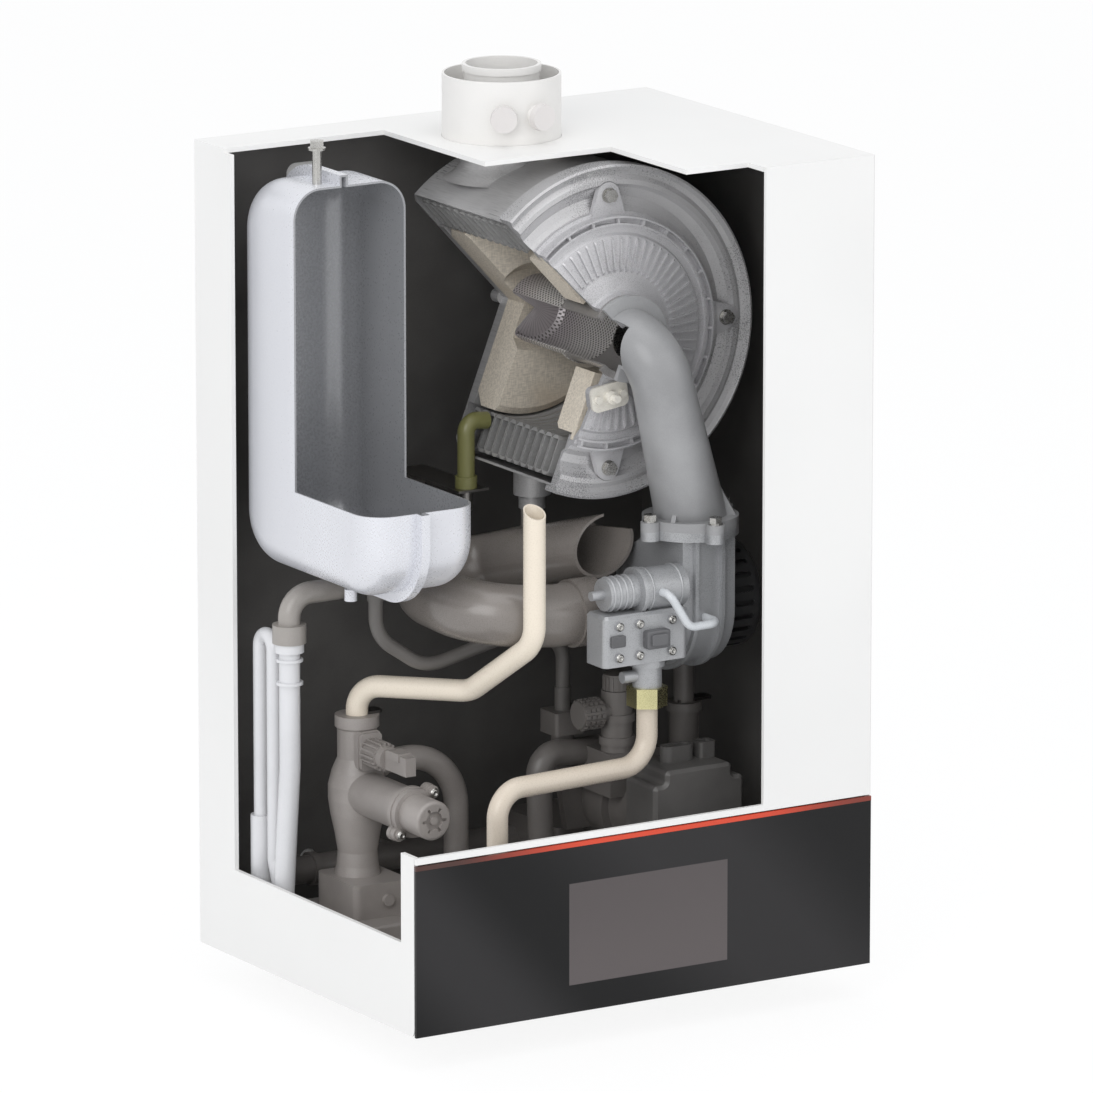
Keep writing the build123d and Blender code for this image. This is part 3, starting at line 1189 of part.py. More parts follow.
# Silicone pressure hose from the valve to the fan
with BuildPart() as sensing_hose:
    bent_rod(
        (
            (48.0, -(VALVE_DEPTH + 18.0), VALVE_TOP_Z),
            (48.0, -(VALVE_DEPTH + 30.0), VALVE_TOP_Z),
            (66.0, -(VALVE_DEPTH + 32.0), 306.0),
            (97.0, -(VALVE_DEPTH + 30.0), 306.0),
            (97.0, -SCROLL_FRONT, 306.0),
        ),
        (8.0, 12.0, 12.0),
        3.6,
    )
sensing_hose.part.label = "sensing_hose"
export_step(sensing_hose.part, "parts/sensing_hose.step")

# Intake silencer: one bent pipe whose lower leg feeds the fan and whose upper leg is cut open
INTAKE_JOINT = (-88.0, -(INTAKE_DEPTH + INTAKE_BACK_DEPTH) / 2, 319.5)
LOWER_LEG = (
    (22.0, -FAN_DEPTH, FAN_Z),
    (-18.0, -FAN_DEPTH, FAN_Z),
    (-88.0, -INTAKE_DEPTH, INTAKE_Z),
    INTAKE_JOINT,
)
UPPER_LEG = (
    INTAKE_JOINT,
    (-88.0, -INTAKE_BACK_DEPTH, 322.0),
    (-14.0, -INTAKE_BACK_DEPTH - 4.0, 328.0),
    (INTAKE_MOUTH[0] + 16.5, -INTAKE_MOUTH[1] - 33.0, INTAKE_MOUTH[2] + 9.9),
)
COLLAR_LEFT = -2.0

with BuildPart() as intake_pipe:
    bent_rod(UPPER_LEG, (50.0, 34.0), INTAKE_R)
    bent_rod(UPPER_LEG, (50.0, 34.0), INTAKE_R - INTAKE_T, mode=Mode.SUBTRACT)
    with BuildSketch(front_plane(INTAKE_MOUTH[1])) as beyond_mouth:
        with Locations((INTAKE_MOUTH[0], INTAKE_MOUTH[2])):
            Rectangle(160.0, 120.0)
    extrude(beyond_mouth.sketch, amount=90.0, mode=Mode.SUBTRACT)
    with BuildSketch(Plane.XY.offset(OUTLET_TOP - OUTLET_FLANGE_T - 1.0)) as below_ear:
        with Locations((INTAKE_MOUTH[0], -INTAKE_MOUTH[1])):
            Rectangle(70.0, 56.0, align=(Align.MIN, Align.CENTER))
    extrude(below_ear.sketch, amount=30.0, mode=Mode.SUBTRACT)
    bent_rod(LOWER_LEG, (60.0, 50.0), INTAKE_R)
    cross_bar(FAN_DEPTH, FAN_Z, COLLAR_LEFT, LOWER_LEG[0][0], INTAKE_R + 2.5)
    bent_rod(LOWER_LEG, (60.0, 50.0), INTAKE_R - INTAKE_T, mode=Mode.SUBTRACT)
intake_pipe.part.label = "intake_pipe"
export_step(intake_pipe.part, "parts/intake_pipe.step")

# Expansion vessel: two deep-drawn shells that meet in a folded bead. The section through it
# leaves the bottom and the rear.
VESSEL_MID_DEPTH = (VESSEL_BACK + VESSEL_FRONT) / 2
VESSEL_MID_Z = (VESSEL_BOTTOM + VESSEL_TOP) / 2
VESSEL_D = VESSEL_FRONT - VESSEL_BACK
VESSEL_H = VESSEL_TOP - VESSEL_BOTTOM


def vessel_ring(place, width, outside, inside):
    """Ring along the vessel's outline, between two offsets from it, extruded to the left."""
    with BuildSketch(side_plane(place)) as ring:
        with Locations((VESSEL_MID_DEPTH, VESSEL_MID_Z)):
            RectangleRounded(VESSEL_D + 2 * outside, VESSEL_H + 2 * outside, VESSEL_CORNER_R + outside)
            RectangleRounded(
                VESSEL_D + 2 * inside, VESSEL_H + 2 * inside, VESSEL_CORNER_R + inside, mode=Mode.SUBTRACT
            )
    extrude(ring.sketch, amount=width)


def cut_vessel_open():
    """Takes away the vessel's upper front, as the section shows it."""
    with BuildSketch(side_plane(VESSEL_RIGHT + 20.0)) as section:
        with Locations((VESSEL_CUT_DEPTH, VESSEL_CUT_Z)):
            Rectangle(VESSEL_D, VESSEL_H, align=(Align.MIN, Align.MIN))
    extrude(section.sketch, amount=VESSEL_RIGHT - VESSEL_LEFT + 40.0, mode=Mode.SUBTRACT)


with BuildPart() as vessel_left_shell:
    with BuildSketch(side_plane(VESSEL_SEAM - BEAD_W / 2)):
        with Locations((VESSEL_MID_DEPTH, VESSEL_MID_Z)):
            RectangleRounded(VESSEL_D, VESSEL_H, VESSEL_CORNER_R)
    extrude(amount=VESSEL_SEAM - BEAD_W / 2 - VESSEL_LEFT)
    fillet(vessel_left_shell.faces().sort_by(Axis.X)[0].edges(), radius=VESSEL_EDGE_R)
    offset(amount=-VESSEL_T, openings=vessel_left_shell.faces().sort_by(Axis.X)[-1])
    vessel_ring(VESSEL_SEAM - BEAD_W / 2 + VESSEL_T, VESSEL_T, BEAD_OUT, -VESSEL_T)
    vessel_ring(VESSEL_SEAM + BEAD_W / 2, BEAD_W, BEAD_OUT + VESSEL_T, BEAD_OUT)
    upright_bar(-175.0, 171.0, VESSEL_BOTTOM - 6.0, VESSEL_BOTTOM + 1.0, 3.4)
    upright_bar(-175.0, 171.0, VESSEL_BOTTOM - 16.0, VESSEL_BOTTOM - 6.0, 5.3)
    cut_vessel_open()
vessel_left_shell.part.label = "vessel_left_shell"
export_step(vessel_left_shell.part, "parts/vessel_left_shell.step")

with BuildPart() as vessel_right_shell:
    with BuildSketch(side_plane(VESSEL_RIGHT)):
        with Locations((VESSEL_MID_DEPTH, VESSEL_MID_Z)):
            RectangleRounded(VESSEL_D, VESSEL_H, VESSEL_CORNER_R)
    extrude(amount=VESSEL_RIGHT - VESSEL_SEAM - BEAD_W / 2)
    fillet(vessel_right_shell.faces().sort_by(Axis.X)[-1].edges(), radius=VESSEL_EDGE_R)
    offset(amount=-VESSEL_T, openings=vessel_right_shell.faces().sort_by(Axis.X)[0])
    vessel_ring(VESSEL_SEAM + BEAD_W / 2, VESSEL_T, BEAD_OUT - CONTACT_GAP, -VESSEL_T)
    cut_vessel_open()
vessel_right_shell.part.label = "vessel_right_shell"
export_step(vessel_right_shell.part, "parts/vessel_right_shell.step")

# Bolt that holds the vessel to the top of the case
VESSEL_BOLT_X = -177.0
VESSEL_BOLT_DEPTH = 122.0

with BuildPart() as vessel_bolt:
    upright_bar(VESSEL_BOLT_X, VESSEL_BOLT_DEPTH, VESSEL_TOP, VESSEL_TOP + 29.0, 4.0)
    upright_bar(VESSEL_BOLT_X, VESSEL_BOLT_DEPTH, VESSEL_TOP + 29.0, VESSEL_TOP + 31.0, 7.5)
    with BuildSketch(Plane.XY.offset(VESSEL_TOP + 31.0)) as head:
        with Locations((VESSEL_BOLT_X, -VESSEL_BOLT_DEPTH)):
            RegularPolygon(5.5, 6, major_radius=False)
    extrude(head.sketch, amount=6.0)
vessel_bolt.part.label = "vessel_bolt"
export_step(vessel_bolt.part, "parts/vessel_bolt.step")

# Hose from the vessel to the pump group, a ferrule at each end
HOSE_TOP = (-145.0, -161.0, VESSEL_BOTTOM)
TEE_X = 38.0
TEE_DEPTH = 165.0
TEE_TOP = 206.0

with BuildPart() as vessel_hose:
    bent_rod(
        (HOSE_TOP, (-145.0, -161.0, 292.0), (-97.0, -162.0, 259.0), (14.0, -164.0, 284.0),
         (TEE_X, -TEE_DEPTH, 258.0), (TEE_X, -TEE_DEPTH, TEE_TOP)),
        (34.0, 40.0, 18.0, 22.0),
        PORT_HOSE_R,
    )
    upright_bar(HOSE_TOP[0], -HOSE_TOP[1], 323.0, VESSEL_BOTTOM, PORT_HOSE_R + 1.0)
    upright_bar(TEE_X, TEE_DEPTH, TEE_TOP, TEE_TOP + 20.0, PORT_HOSE_R + 1.0)
vessel_hose.part.label = "vessel_hose"
export_step(vessel_hose.part, "parts/vessel_hose.step")

# Copper flow pipe, cut on a slant at its upper end
with BuildPart() as flow_pipe:
    bent_rod(
        (
            (-58.0, -275.0, 425.0),
            (-58.0, -275.0, 298.0),
            (-76.0, -200.0, 244.0),
            (DIVERTER_X, -DIVERTER_DEPTH, 240.0),
            (DIVERTER_X, -DIVERTER_DEPTH, DIVERTER_TOP - 18.0),
        ),
        (30.0, 24.0, 22.0),
        FLOW_R,
    )
    with BuildSketch(Plane(origin=(-58.0, -275.0, 411.0), z_dir=(0, -0.55, 1.0))) as beyond:
        Circle(3 * FLOW_R)
    extrude(beyond.sketch, amount=40.0, mode=Mode.SUBTRACT)
    upright_bar(-58.0, 275.0, 380.0, 425.0, FLOW_R - FLOW_T, mode=Mode.SUBTRACT)
flow_pipe.part.label = "flow_pipe"
export_step(flow_pipe.part, "parts/flow_pipe.step")

# Three-way diverter: upright body, bonnet towards the front and foot on the drip tray
TRAY_TOP = 46.0
BLOCK_TOP = 76.0
BONNET_R = 19.0
BONNET_FRONT = 209.0
SENSOR_Z = 187.0
SENSOR_BACK = 138.5
EAR_OFFSET = 23.0
STUB_TOP = 14.0
STUB_NECK = 4.0

with BuildPart() as diverter_body:
    with BuildSketch(Plane(origin=(DIVERTER_X, -DIVERTER_DEPTH, 0), x_dir=(1, 0, 0), z_dir=(0, -1, 0))) as half:
        Polygon(
            (0, 70.0), (21.0, 70.0), (18.0, 84.0), (17.0, 96.0), (19.5, 112.0), (23.0, 128.0),
            (25.0, 142.0), (25.0, 154.0), (22.0, 166.0), (DIVERTER_R, 178.0), (DIVERTER_R, 203.0),
            (DIVERTER_R + 2, 205.0), (DIVERTER_R + 2, DIVERTER_TOP), (0, DIVERTER_TOP), align=None,
        )
    revolve(half.sketch, axis=Axis((DIVERTER_X, -DIVERTER_DEPTH, 0), (0, 0, 1)))
    level_bar(DIVERTER_X, DIVERTER_AXIS_Z, DIVERTER_DEPTH, BONNET_FRONT, BONNET_R)
    with BuildSketch(front_plane(BONNET_FRONT - 5.0, DIVERTER_X, DIVERTER_AXIS_Z)) as ears:
        Circle(BONNET_R + 3.0)
        with PolarLocations(EAR_OFFSET, 2, start_angle=45):
            Circle(6.5)
    extrude(ears.sketch, amount=5.0)
    with BuildSketch(Plane.XY.offset(TRAY_TOP)) as foot:
        with Locations((DIVERTER_X, -DIVERTER_DEPTH - 9.0)):
            RectangleRounded(54.0, 66.0, 6.0)
    extrude(foot.sketch, amount=BLOCK_TOP - TRAY_TOP)
    level_bar(DIVERTER_X + 4.0, 61.0, DIVERTER_DEPTH + 42.0, DIVERTER_DEPTH + 46.0, 5.0)
    with BuildSketch(front_plane(DIVERTER_DEPTH, DIVERTER_X, SENSOR_Z)) as seat:
        RectangleRounded(22.0, 34.0, 4.0)
    extrude(seat.sketch, amount=SENSOR_BACK - DIVERTER_DEPTH)
    cross_bar(DIVERTER_DEPTH, 170.0, DIVERTER_X, DIVERTER_X + 26.0, 12.5)
    upright_bar(DIVERTER_X, DIVERTER_DEPTH, TRAY_TOP, 200.0, 12.0, mode=Mode.SUBTRACT)
    upright_bar(DIVERTER_X, DIVERTER_DEPTH, DIVERTER_TOP - 18.0, DIVERTER_TOP, FLOW_R + RUN_FIT, mode=Mode.SUBTRACT)
    level_bar(DIVERTER_X, DIVERTER_AXIS_Z, DIVERTER_DEPTH, BONNET_FRONT - 12.0, 13.5, mode=Mode.SUBTRACT)
    level_bar(DIVERTER_X, DIVERTER_AXIS_Z, DIVERTER_DEPTH, BONNET_FRONT, SPINDLE_R + RUN_FIT, mode=Mode.SUBTRACT)
    cross_bar(DIVERTER_DEPTH, 170.0, DIVERTER_X, DIVERTER_X + 26.0, 8.5, mode=Mode.SUBTRACT)
diverter_body.part.label = "diverter_body"
export_step(diverter_body.part, "parts/diverter_body.step")

# Diverter spindle with its valve disc
with BuildPart() as diverter_spindle:
    level_bar(DIVERTER_X, DIVERTER_AXIS_Z, DIVERTER_DEPTH, BONNET_FRONT + 12.0, SPINDLE_R)
    level_bar(DIVERTER_X, DIVERTER_AXIS_Z, DIVERTER_DEPTH, DIVERTER_DEPTH + 5.0, 10.0)
diverter_spindle.part.label = "diverter_spindle"
export_step(diverter_spindle.part, "parts/diverter_spindle.step")

# Diverter motor: plate with two ears and a cap with a star-shaped recess
MOTOR_CAP_FRONT = 245.0

with BuildPart() as diverter_motor:
    with BuildSketch(front_plane(BONNET_FRONT, DIVERTER_X, DIVERTER_AXIS_Z)) as plate:
        Circle(BONNET_R + 2.0)
        with PolarLocations(EAR_OFFSET, 2, start_angle=45):
            Circle(6.0)
    extrude(plate.sketch, amount=6.0)
    level_bar(DIVERTER_X, DIVERTER_AXIS_Z, BONNET_FRONT + 6.0, MOTOR_CAP_FRONT, BONNET_R - 2.0)
    fillet(diverter_motor.faces().sort_by(Axis.Y)[0].edges(), radius=3.0)
    with BuildSketch(front_plane(MOTOR_CAP_FRONT - 3.0, DIVERTER_X, DIVERTER_AXIS_Z)) as star:
        Circle(8.0)
        with PolarLocations(8.0, 6):
            Rectangle(7.0, 2.4)
        Circle(3.5, mode=Mode.SUBTRACT)
    extrude(star.sketch, amount=3.0, mode=Mode.SUBTRACT)
    for angle in (45.0, 225.0):
        x = DIVERTER_X + EAR_OFFSET * cos(radians(angle))
        z = DIVERTER_AXIS_Z + EAR_OFFSET * sin(radians(angle))
        level_bar(x, z, BONNET_FRONT + 6.0, BONNET_FRONT + 9.0, 4.2)
    level_bar(
        DIVERTER_X,
        DIVERTER_AXIS_Z,
        BONNET_FRONT,
        BONNET_FRONT + 14.0 + SPINDLE_TRAVEL,
        SPINDLE_R + RUN_FIT,
        mode=Mode.SUBTRACT,
    )
diverter_motor.part.label = "diverter_motor"
export_step(diverter_motor.part, "parts/diverter_motor.step")

# Flow sensor: plate, ribbed housing and its plug
with BuildPart() as flow_sensor:
    with BuildSketch(front_plane(SENSOR_BACK, DIVERTER_X, SENSOR_Z)) as plate:
        RectangleRounded(20.0, 32.0, 3.5)
    extrude(plate.sketch, amount=4.0)
    level_bar(DIVERTER_X, SENSOR_Z, SENSOR_BACK + 4.0, SENSOR_BACK + 34.0, 10.0)
    for rib in range(8):
        with BuildSketch(front_plane(SENSOR_BACK + 4.0, DIVERTER_X, SENSOR_Z)) as web:
            Rectangle(25.0, 1.4, rotation=rib * 22.5)
        extrude(web.sketch, amount=22.0)
    with BuildSketch(front_plane(SENSOR_BACK + 34.0, DIVERTER_X, SENSOR_Z)) as plug:
        Rectangle(10.0, 16.0)
    extrude(plug.sketch, amount=34.0)
    with BuildSketch(front_plane(SENSOR_BACK + 40.0, DIVERTER_X, SENSOR_Z)) as latch:
        with Locations((0, 6.5)):
            Rectangle(13.0, 7.0)
    extrude(latch.sketch, amount=18.0)
flow_sensor.part.label = "flow_sensor"
export_step(flow_sensor.part, "parts/flow_sensor.step")

# Elbow at the coil's end, out of the cut, and the steel bracket that carries it
ELBOW_X = -18.5
ELBOW_DEPTH = 100.0
ELBOW_R = 7.5
BRACKET_Z = 392.0

with BuildPart() as coil_elbow:
    bent_rod(
        ((2.0, -ELBOW_DEPTH, 450.0), (ELBOW_X, -ELBOW_DEPTH, 452.0), (ELBOW_X, -ELBOW_DEPTH, BRACKET_Z + 2.0)),
        10.0,
        ELBOW_R,
    )
    upright_bar(ELBOW_X, ELBOW_DEPTH, BRACKET_Z + 2.0, BRACKET_Z + 12.0, ELBOW_R + 2.0)
coil_elbow.part.label = "coil_elbow"
export_step(coil_elbow.part, "parts/coil_elbow.step")

with BuildPart() as coil_elbow_bracket:
    with BuildSketch(Plane.XY.offset(BRACKET_Z)) as shelf:
        with Locations((-18.0, -(BACK_T + MAT_T + 112.0) / 2)):
            Rectangle(30.0, 112.0 - BACK_T - MAT_T)
    extrude(shelf.sketch, amount=2.0)
    with BuildSketch(front_plane(BACK_T + MAT_T)) as upright:
        with Locations((-18.0, BRACKET_Z - 14.0)):
            Rectangle(30.0, 32.0)
    extrude(upright.sketch, amount=2.0)
    upright_bar(ELBOW_X, ELBOW_DEPTH, BRACKET_Z - 18.0, BRACKET_Z, 5.5)
coil_elbow_bracket.part.label = "coil_elbow_bracket"
export_step(coil_elbow_bracket.part, "parts/coil_elbow_bracket.step")

# Condensate drain pipe from the exchanger's cup to the drain hose, with its nut
DRAIN_PIPE_X = -201.0
DRAIN_PIPE_DEPTH = 113.0
DRAIN_PIPE_R = 9.5
DRAIN_NUT_LOW = 284.0

with BuildPart() as drain_elbow:
    bent_rod(
        (
            (DRAIN_PIPE_X, -DRAIN_PIPE_DEPTH, DRAIN_NUT_LOW),
            (DRAIN_PIPE_X, -DRAIN_PIPE_DEPTH, 325.0),
            (-135.0, -DRAIN_PIPE_DEPTH, 325.0),
            (-135.0, -62.0, 325.0),
            (CUP_X, -62.0, 332.0),
            (CUP_X, -CUP_DEPTH, 350.0),
            (CUP_X, -CUP_DEPTH, CUP_BOTTOM - 12.0),
        ),
        (20.0, 20.0, 20.0, 18.0, 12.0),
        DRAIN_PIPE_R,
    )
    upright_bar(DRAIN_PIPE_X, DRAIN_PIPE_DEPTH, DRAIN_NUT_LOW, 300.0, 14.4)
drain_elbow.part.label = "drain_elbow"
export_step(drain_elbow.part, "parts/drain_elbow.step")

# Two white drain hoses: the condensate hose with its clamps and the looped vent hose
LOOP_R = 6.5

with BuildPart() as drain_hoses:
    upright_bar(DRAIN_PIPE_X, DRAIN_PIPE_DEPTH, DRAIN_NUT_LOW - 8.0, DRAIN_NUT_LOW, 12.5)
    bent_rod(
        (
            (DRAIN_PIPE_X, -DRAIN_PIPE_DEPTH, DRAIN_NUT_LOW),
            (DRAIN_PIPE_X, -DRAIN_PIPE_DEPTH, 176.0),
            (DRAIN_X - 2.0, -DRAIN_PIPE_DEPTH, 60.0),
            (DRAIN_X - 2.0, -DRAIN_PIPE_DEPTH, BOTTOM_T),
        ),
        (60.0, 60.0),
        DRAIN_HOSE_R,
    )
    for height in (268.0, 248.0):
        upright_bar(DRAIN_PIPE_X, DRAIN_PIPE_DEPTH, height, height + 2.4, DRAIN_HOSE_R + 2.6)
    bent_rod(
        (
            (-203.0, -68.0, BOTTOM_T),
            (-203.0, -68.0, 284.0),
            (-203.0, -90.5, 284.0),
            (-203.0, -90.5, 90.0),
            (-203.0, -101.0, 60.0),
        ),
        (11.0, 11.0, 12.0),
        LOOP_R,
    )
    upright_bar(-203.0, 68.0, BOTTOM_T, 125.0, LOOP_R + 3.0)
drain_hoses.part.label = "drain_hoses"
export_step(drain_hoses.part, "parts/drain_hoses.step")

# Pump group: volute with its rear manifold, the three towers and the side branch
BLOCK_DEPTHS = (46.0, 136.0)
BLOCK_HEIGHTS = (52.0, 92.0)
VENT_TOWER_R = 13.5
VENT_TOWER_TOP = 231.0
RETURN_R = 13.0
CAN_R = 40.0
CAN_FRONT = 245.0
KNOB_LEFT = 22.0
KNOB_Z = 213.0

with BuildPart() as pump_body:
    level_bar(PUMP_X, PUMP_Z, PUMP_BACK, PUMP_FACE, PUMP_R)
    level_bar(PUMP_X, PUMP_Z, PUMP_FACE, PUMP_FACE + 5.0, PUMP_R + 5.0)
    level_bar(PUMP_X, PUMP_Z, PUMP_FACE + 5.0, CAN_FRONT, CAN_R)
    with BuildSketch(Plane.XY.offset(BLOCK_HEIGHTS[0])) as manifold:
        with Locations((PUMP_X, -(BLOCK_DEPTHS[0] + BLOCK_DEPTHS[1]) / 2)):
            RectangleRounded(92.0, BLOCK_DEPTHS[1] - BLOCK_DEPTHS[0], 8.0)
    extrude(manifold.sketch, amount=BLOCK_HEIGHTS[1] - BLOCK_HEIGHTS[0])
    for x in STUB_XS[3:]:
        upright_bar(x, STUB_DEPTH, STUB_TOP, BLOCK_HEIGHTS[0] + 4.0, 13.0)
    upright_bar(VENT_X, VENT_DEPTH, 166.0, VENT_TOWER_TOP, VENT_TOWER_R)
    for height in (184.0, 204.0):
        upright_bar(VENT_X, VENT_DEPTH, height, height + 7.0, VENT_TOWER_R + 1.8)
    with BuildSketch(Plane.XY.offset(140.0)) as vent_block:
        with Locations((VENT_X, -VENT_DEPTH + 20.0)):
            Rectangle(30.0, 68.0)
    extrude(vent_block.sketch, amount=38.0)
    cross_bar(VENT_DEPTH, KNOB_Z, KNOB_LEFT + 22.0, VENT_X, 9.0)
    upright_bar(RETURN_X - 5.0, RETURN_DEPTH, 130.0, RETURN_TOP, RETURN_R)
    upright_bar(RETURN_X - 5.0, RETURN_DEPTH, RETURN_TOP - 8.0, RETURN_TOP, RETURN_R + 2.5)
    upright_bar(RETURN_X - 5.0, RETURN_DEPTH, RETURN_TOP, RETURN_TOP + 42.0, 9.0)
    upright_bar(TEE_X, TEE_DEPTH, 150.0, TEE_TOP, 10.0)
    with BuildSketch(Plane.XY.offset(TEE_TOP - 20.0)) as collar:
        with Locations((TEE_X, -TEE_DEPTH)):
            RectangleRounded(30.0, 28.0, 3.0)
    extrude(collar.sketch, amount=20.0)
    with BuildSketch(front_plane(TEE_DEPTH - 4.0)) as gusset:
        Polygon((28.0, 170.0), (64.0, 170.0), (64.0, 100.0), (40.0, 100.0), align=None)
    extrude(gusset.sketch, amount=8.0)
    bent_rod(
        ((66.0, -178.0, 168.0), (-2.0, -190.0, 178.0), (4.0, -186.0, 72.0), (60.0, -126.0, 72.0)),
        (17.0, 18.0),
        11.0,
    )
    cross_bar(60.0, 68.0, -178.0, 60.0, 12.0)
    cross_bar(60.0, 68.0, -152.0, -146.0, 14.5)
    cross_bar(60.0, 68.0, -178.0, -173.0, 14.5)
    level_bar(-60.0, 68.0, BACK_T + MAT_T, 60.0, 6.0)
    level_bar(PUMP_X, PUMP_Z, PUMP_BACK + 6.0, PUMP_FACE, ROTOR_R + 10.0, mode=Mode.SUBTRACT)
    level_bar(PUMP_X, PUMP_Z, PUMP_FACE, CAN_FRONT - 8.0, 4.0 + RUN_FIT, mode=Mode.SUBTRACT)
pump_body.part.label = "pump_body"
export_step(pump_body.part, "parts/pump_body.step")

# Pump rotor: vaned disc on its shaft
with BuildPart() as pump_rotor:
    level_bar(PUMP_X, PUMP_Z, PUMP_BACK + 20.0, PUMP_BACK + 23.0, ROTOR_R)
    level_bar(PUMP_X, PUMP_Z, PUMP_BACK + 20.0, CAN_FRONT - 10.0, 4.0)
    with BuildSketch(front_plane(PUMP_BACK + 23.0, PUMP_X, PUMP_Z)) as vanes:
        with PolarLocations(ROTOR_R / 2 + 2.0, 6):
            Rectangle(ROTOR_R - 4.0, 2.0, rotation=24)
    extrude(vanes.sketch, amount=12.0)
pump_rotor.part.label = "pump_rotor"
export_step(pump_rotor.part, "parts/pump_rotor.step")

# Pump controller on the can's front, with its two sockets on top
BOX_LEFT, BOX_RIGHT, BOX_LOW, BOX_HIGH = CONTROLLER_BOX
SHOULDER = 12.0

with BuildPart() as pump_controller:
    with BuildSketch(front_plane(CAN_FRONT)) as box:
        Polygon(
            (BOX_LEFT + SHOULDER, BOX_LOW), (BOX_RIGHT - SHOULDER, BOX_LOW),
            (BOX_RIGHT - SHOULDER, BOX_LOW + SHOULDER), (BOX_RIGHT, BOX_LOW + SHOULDER),
            (BOX_RIGHT, BOX_HIGH - SHOULDER), (BOX_RIGHT - SHOULDER, BOX_HIGH - SHOULDER),
            (BOX_RIGHT - SHOULDER, BOX_HIGH), (BOX_LEFT + SHOULDER, BOX_HIGH),
            (BOX_LEFT + SHOULDER, BOX_HIGH - SHOULDER), (BOX_LEFT, BOX_HIGH - SHOULDER),
            (BOX_LEFT, BOX_LOW + SHOULDER), (BOX_LEFT + SHOULDER, BOX_LOW + SHOULDER), align=None,
        )
        fillet(box.vertices(), radius=4.0)
    extrude(box.sketch, amount=CONTROLLER_FRONT - CAN_FRONT)
    chamfer(pump_controller.faces().sort_by(Axis.Y)[0].edges(), length=3.0)
    with BuildSketch(Plane.XY.offset(BOX_HIGH)) as sockets:
        with Locations((PUMP_X - 4.0, -CAN_FRONT - 14.0)):
            RectangleRounded(30.0, 14.0, 6.5)
        with Locations((PUMP_X + 24.0, -CAN_FRONT - 14.0)):
            RectangleRounded(16.0, 14.0, 3.0)
    extrude(sockets.sketch, amount=14.0)
    with BuildSketch(Plane.XY.offset(BOX_HIGH + 6.0)) as wells:
        with Locations((PUMP_X - 4.0, -CAN_FRONT - 14.0)):
            RectangleRounded(24.0, 9.0, 4.0)
        with Locations((PUMP_X + 24.0, -CAN_FRONT - 14.0)):
            RectangleRounded(11.0, 9.0, 2.0)
    extrude(wells.sketch, amount=8.0, mode=Mode.SUBTRACT)
pump_controller.part.label = "pump_controller"
export_step(pump_controller.part, "parts/pump_controller.step")

# Air vent's screw cap and the ribbed relief knob
with BuildPart() as air_vent_cap:
    upright_bar(VENT_X, VENT_DEPTH, VENT_TOWER_TOP + CONTACT_GAP, VENT_TOWER_TOP + 14.0, 11.5)
    with BuildSketch(Plane.XY.offset(VENT_TOWER_TOP + CONTACT_GAP)) as grip:
        with Locations((VENT_X, -VENT_DEPTH)):
            with PolarLocations(11.5, 18):
                Rectangle(1.6, 1.8)
    extrude(grip.sketch, amount=12.0)
air_vent_cap.part.label = "air_vent_cap"
export_step(air_vent_cap.part, "parts/air_vent_cap.step")

with BuildPart() as relief_knob:
    cross_bar(VENT_DEPTH, KNOB_Z, KNOB_LEFT, KNOB_LEFT + 22.0 - CONTACT_GAP, 12.0)
    for ring in range(4):
        with BuildSketch(side_plane(KNOB_LEFT + 5.0 + ring * 5.0)) as grip:
            with Locations((VENT_DEPTH, KNOB_Z)):
                with PolarLocations(12.0, 14):
                    Rectangle(3.2, 3.0)
        extrude(grip.sketch, amount=3.4)
relief_knob.part.label = "relief_knob"
export_step(relief_knob.part, "parts/relief_knob.step")

# Wire clips that hold the hose, the return stub and the flow pipe in their towers
with BuildPart() as retaining_clips:
    for x, depth, level, width in (
        (TEE_X, TEE_DEPTH, TEE_TOP, 26.0),
        (RETURN_X - 5.0, RETURN_DEPTH, RETURN_TOP, 34.0),
        (DIVERTER_X, DIVERTER_DEPTH, DIVERTER_TOP, 28.0),
    ):
        with BuildSketch(Plane.XY.offset(level)) as clip:
            with Locations((x + 8.0, -depth)):
                RectangleRounded(width, 15.0, 4.0)
            with Locations((x, -depth)):
                Circle(9.0 + 0.9, mode=Mode.SUBTRACT)
        extrude(clip.sketch, amount=2.4)
retaining_clips.part.label = "retaining_clips"
export_step(retaining_clips.part, "parts/retaining_clips.step")

# Five pipe connections below the bottom plate, each with a collar that rests on the plate
with BuildPart() as connection_stubs:
    for x in STUB_XS:
        upright_bar(x, STUB_DEPTH, -STUB_BELOW, -STUB_NECK, STUB_R)
        upright_bar(x, STUB_DEPTH, -STUB_NECK, STUB_TOP, STUB_R - 0.8)
        upright_bar(x, STUB_DEPTH, BOTTOM_T, BOTTOM_T + 4.0, STUB_R + 4.0)
    upright_bar(DIVERTER_X, STUB_DEPTH, STUB_TOP, TRAY_TOP, STUB_R)
    for x in STUB_XS:
        upright_bar(x, STUB_DEPTH, -STUB_BELOW, -STUB_NECK - 4.0, STUB_R - 1.2, mode=Mode.SUBTRACT)
connection_stubs.part.label = "connection_stubs"
export_step(connection_stubs.part, "parts/connection_stubs.step")

# Drip tray under the diverter
TRAY_X = -138.0
TRAY_DEPTH = 128.0

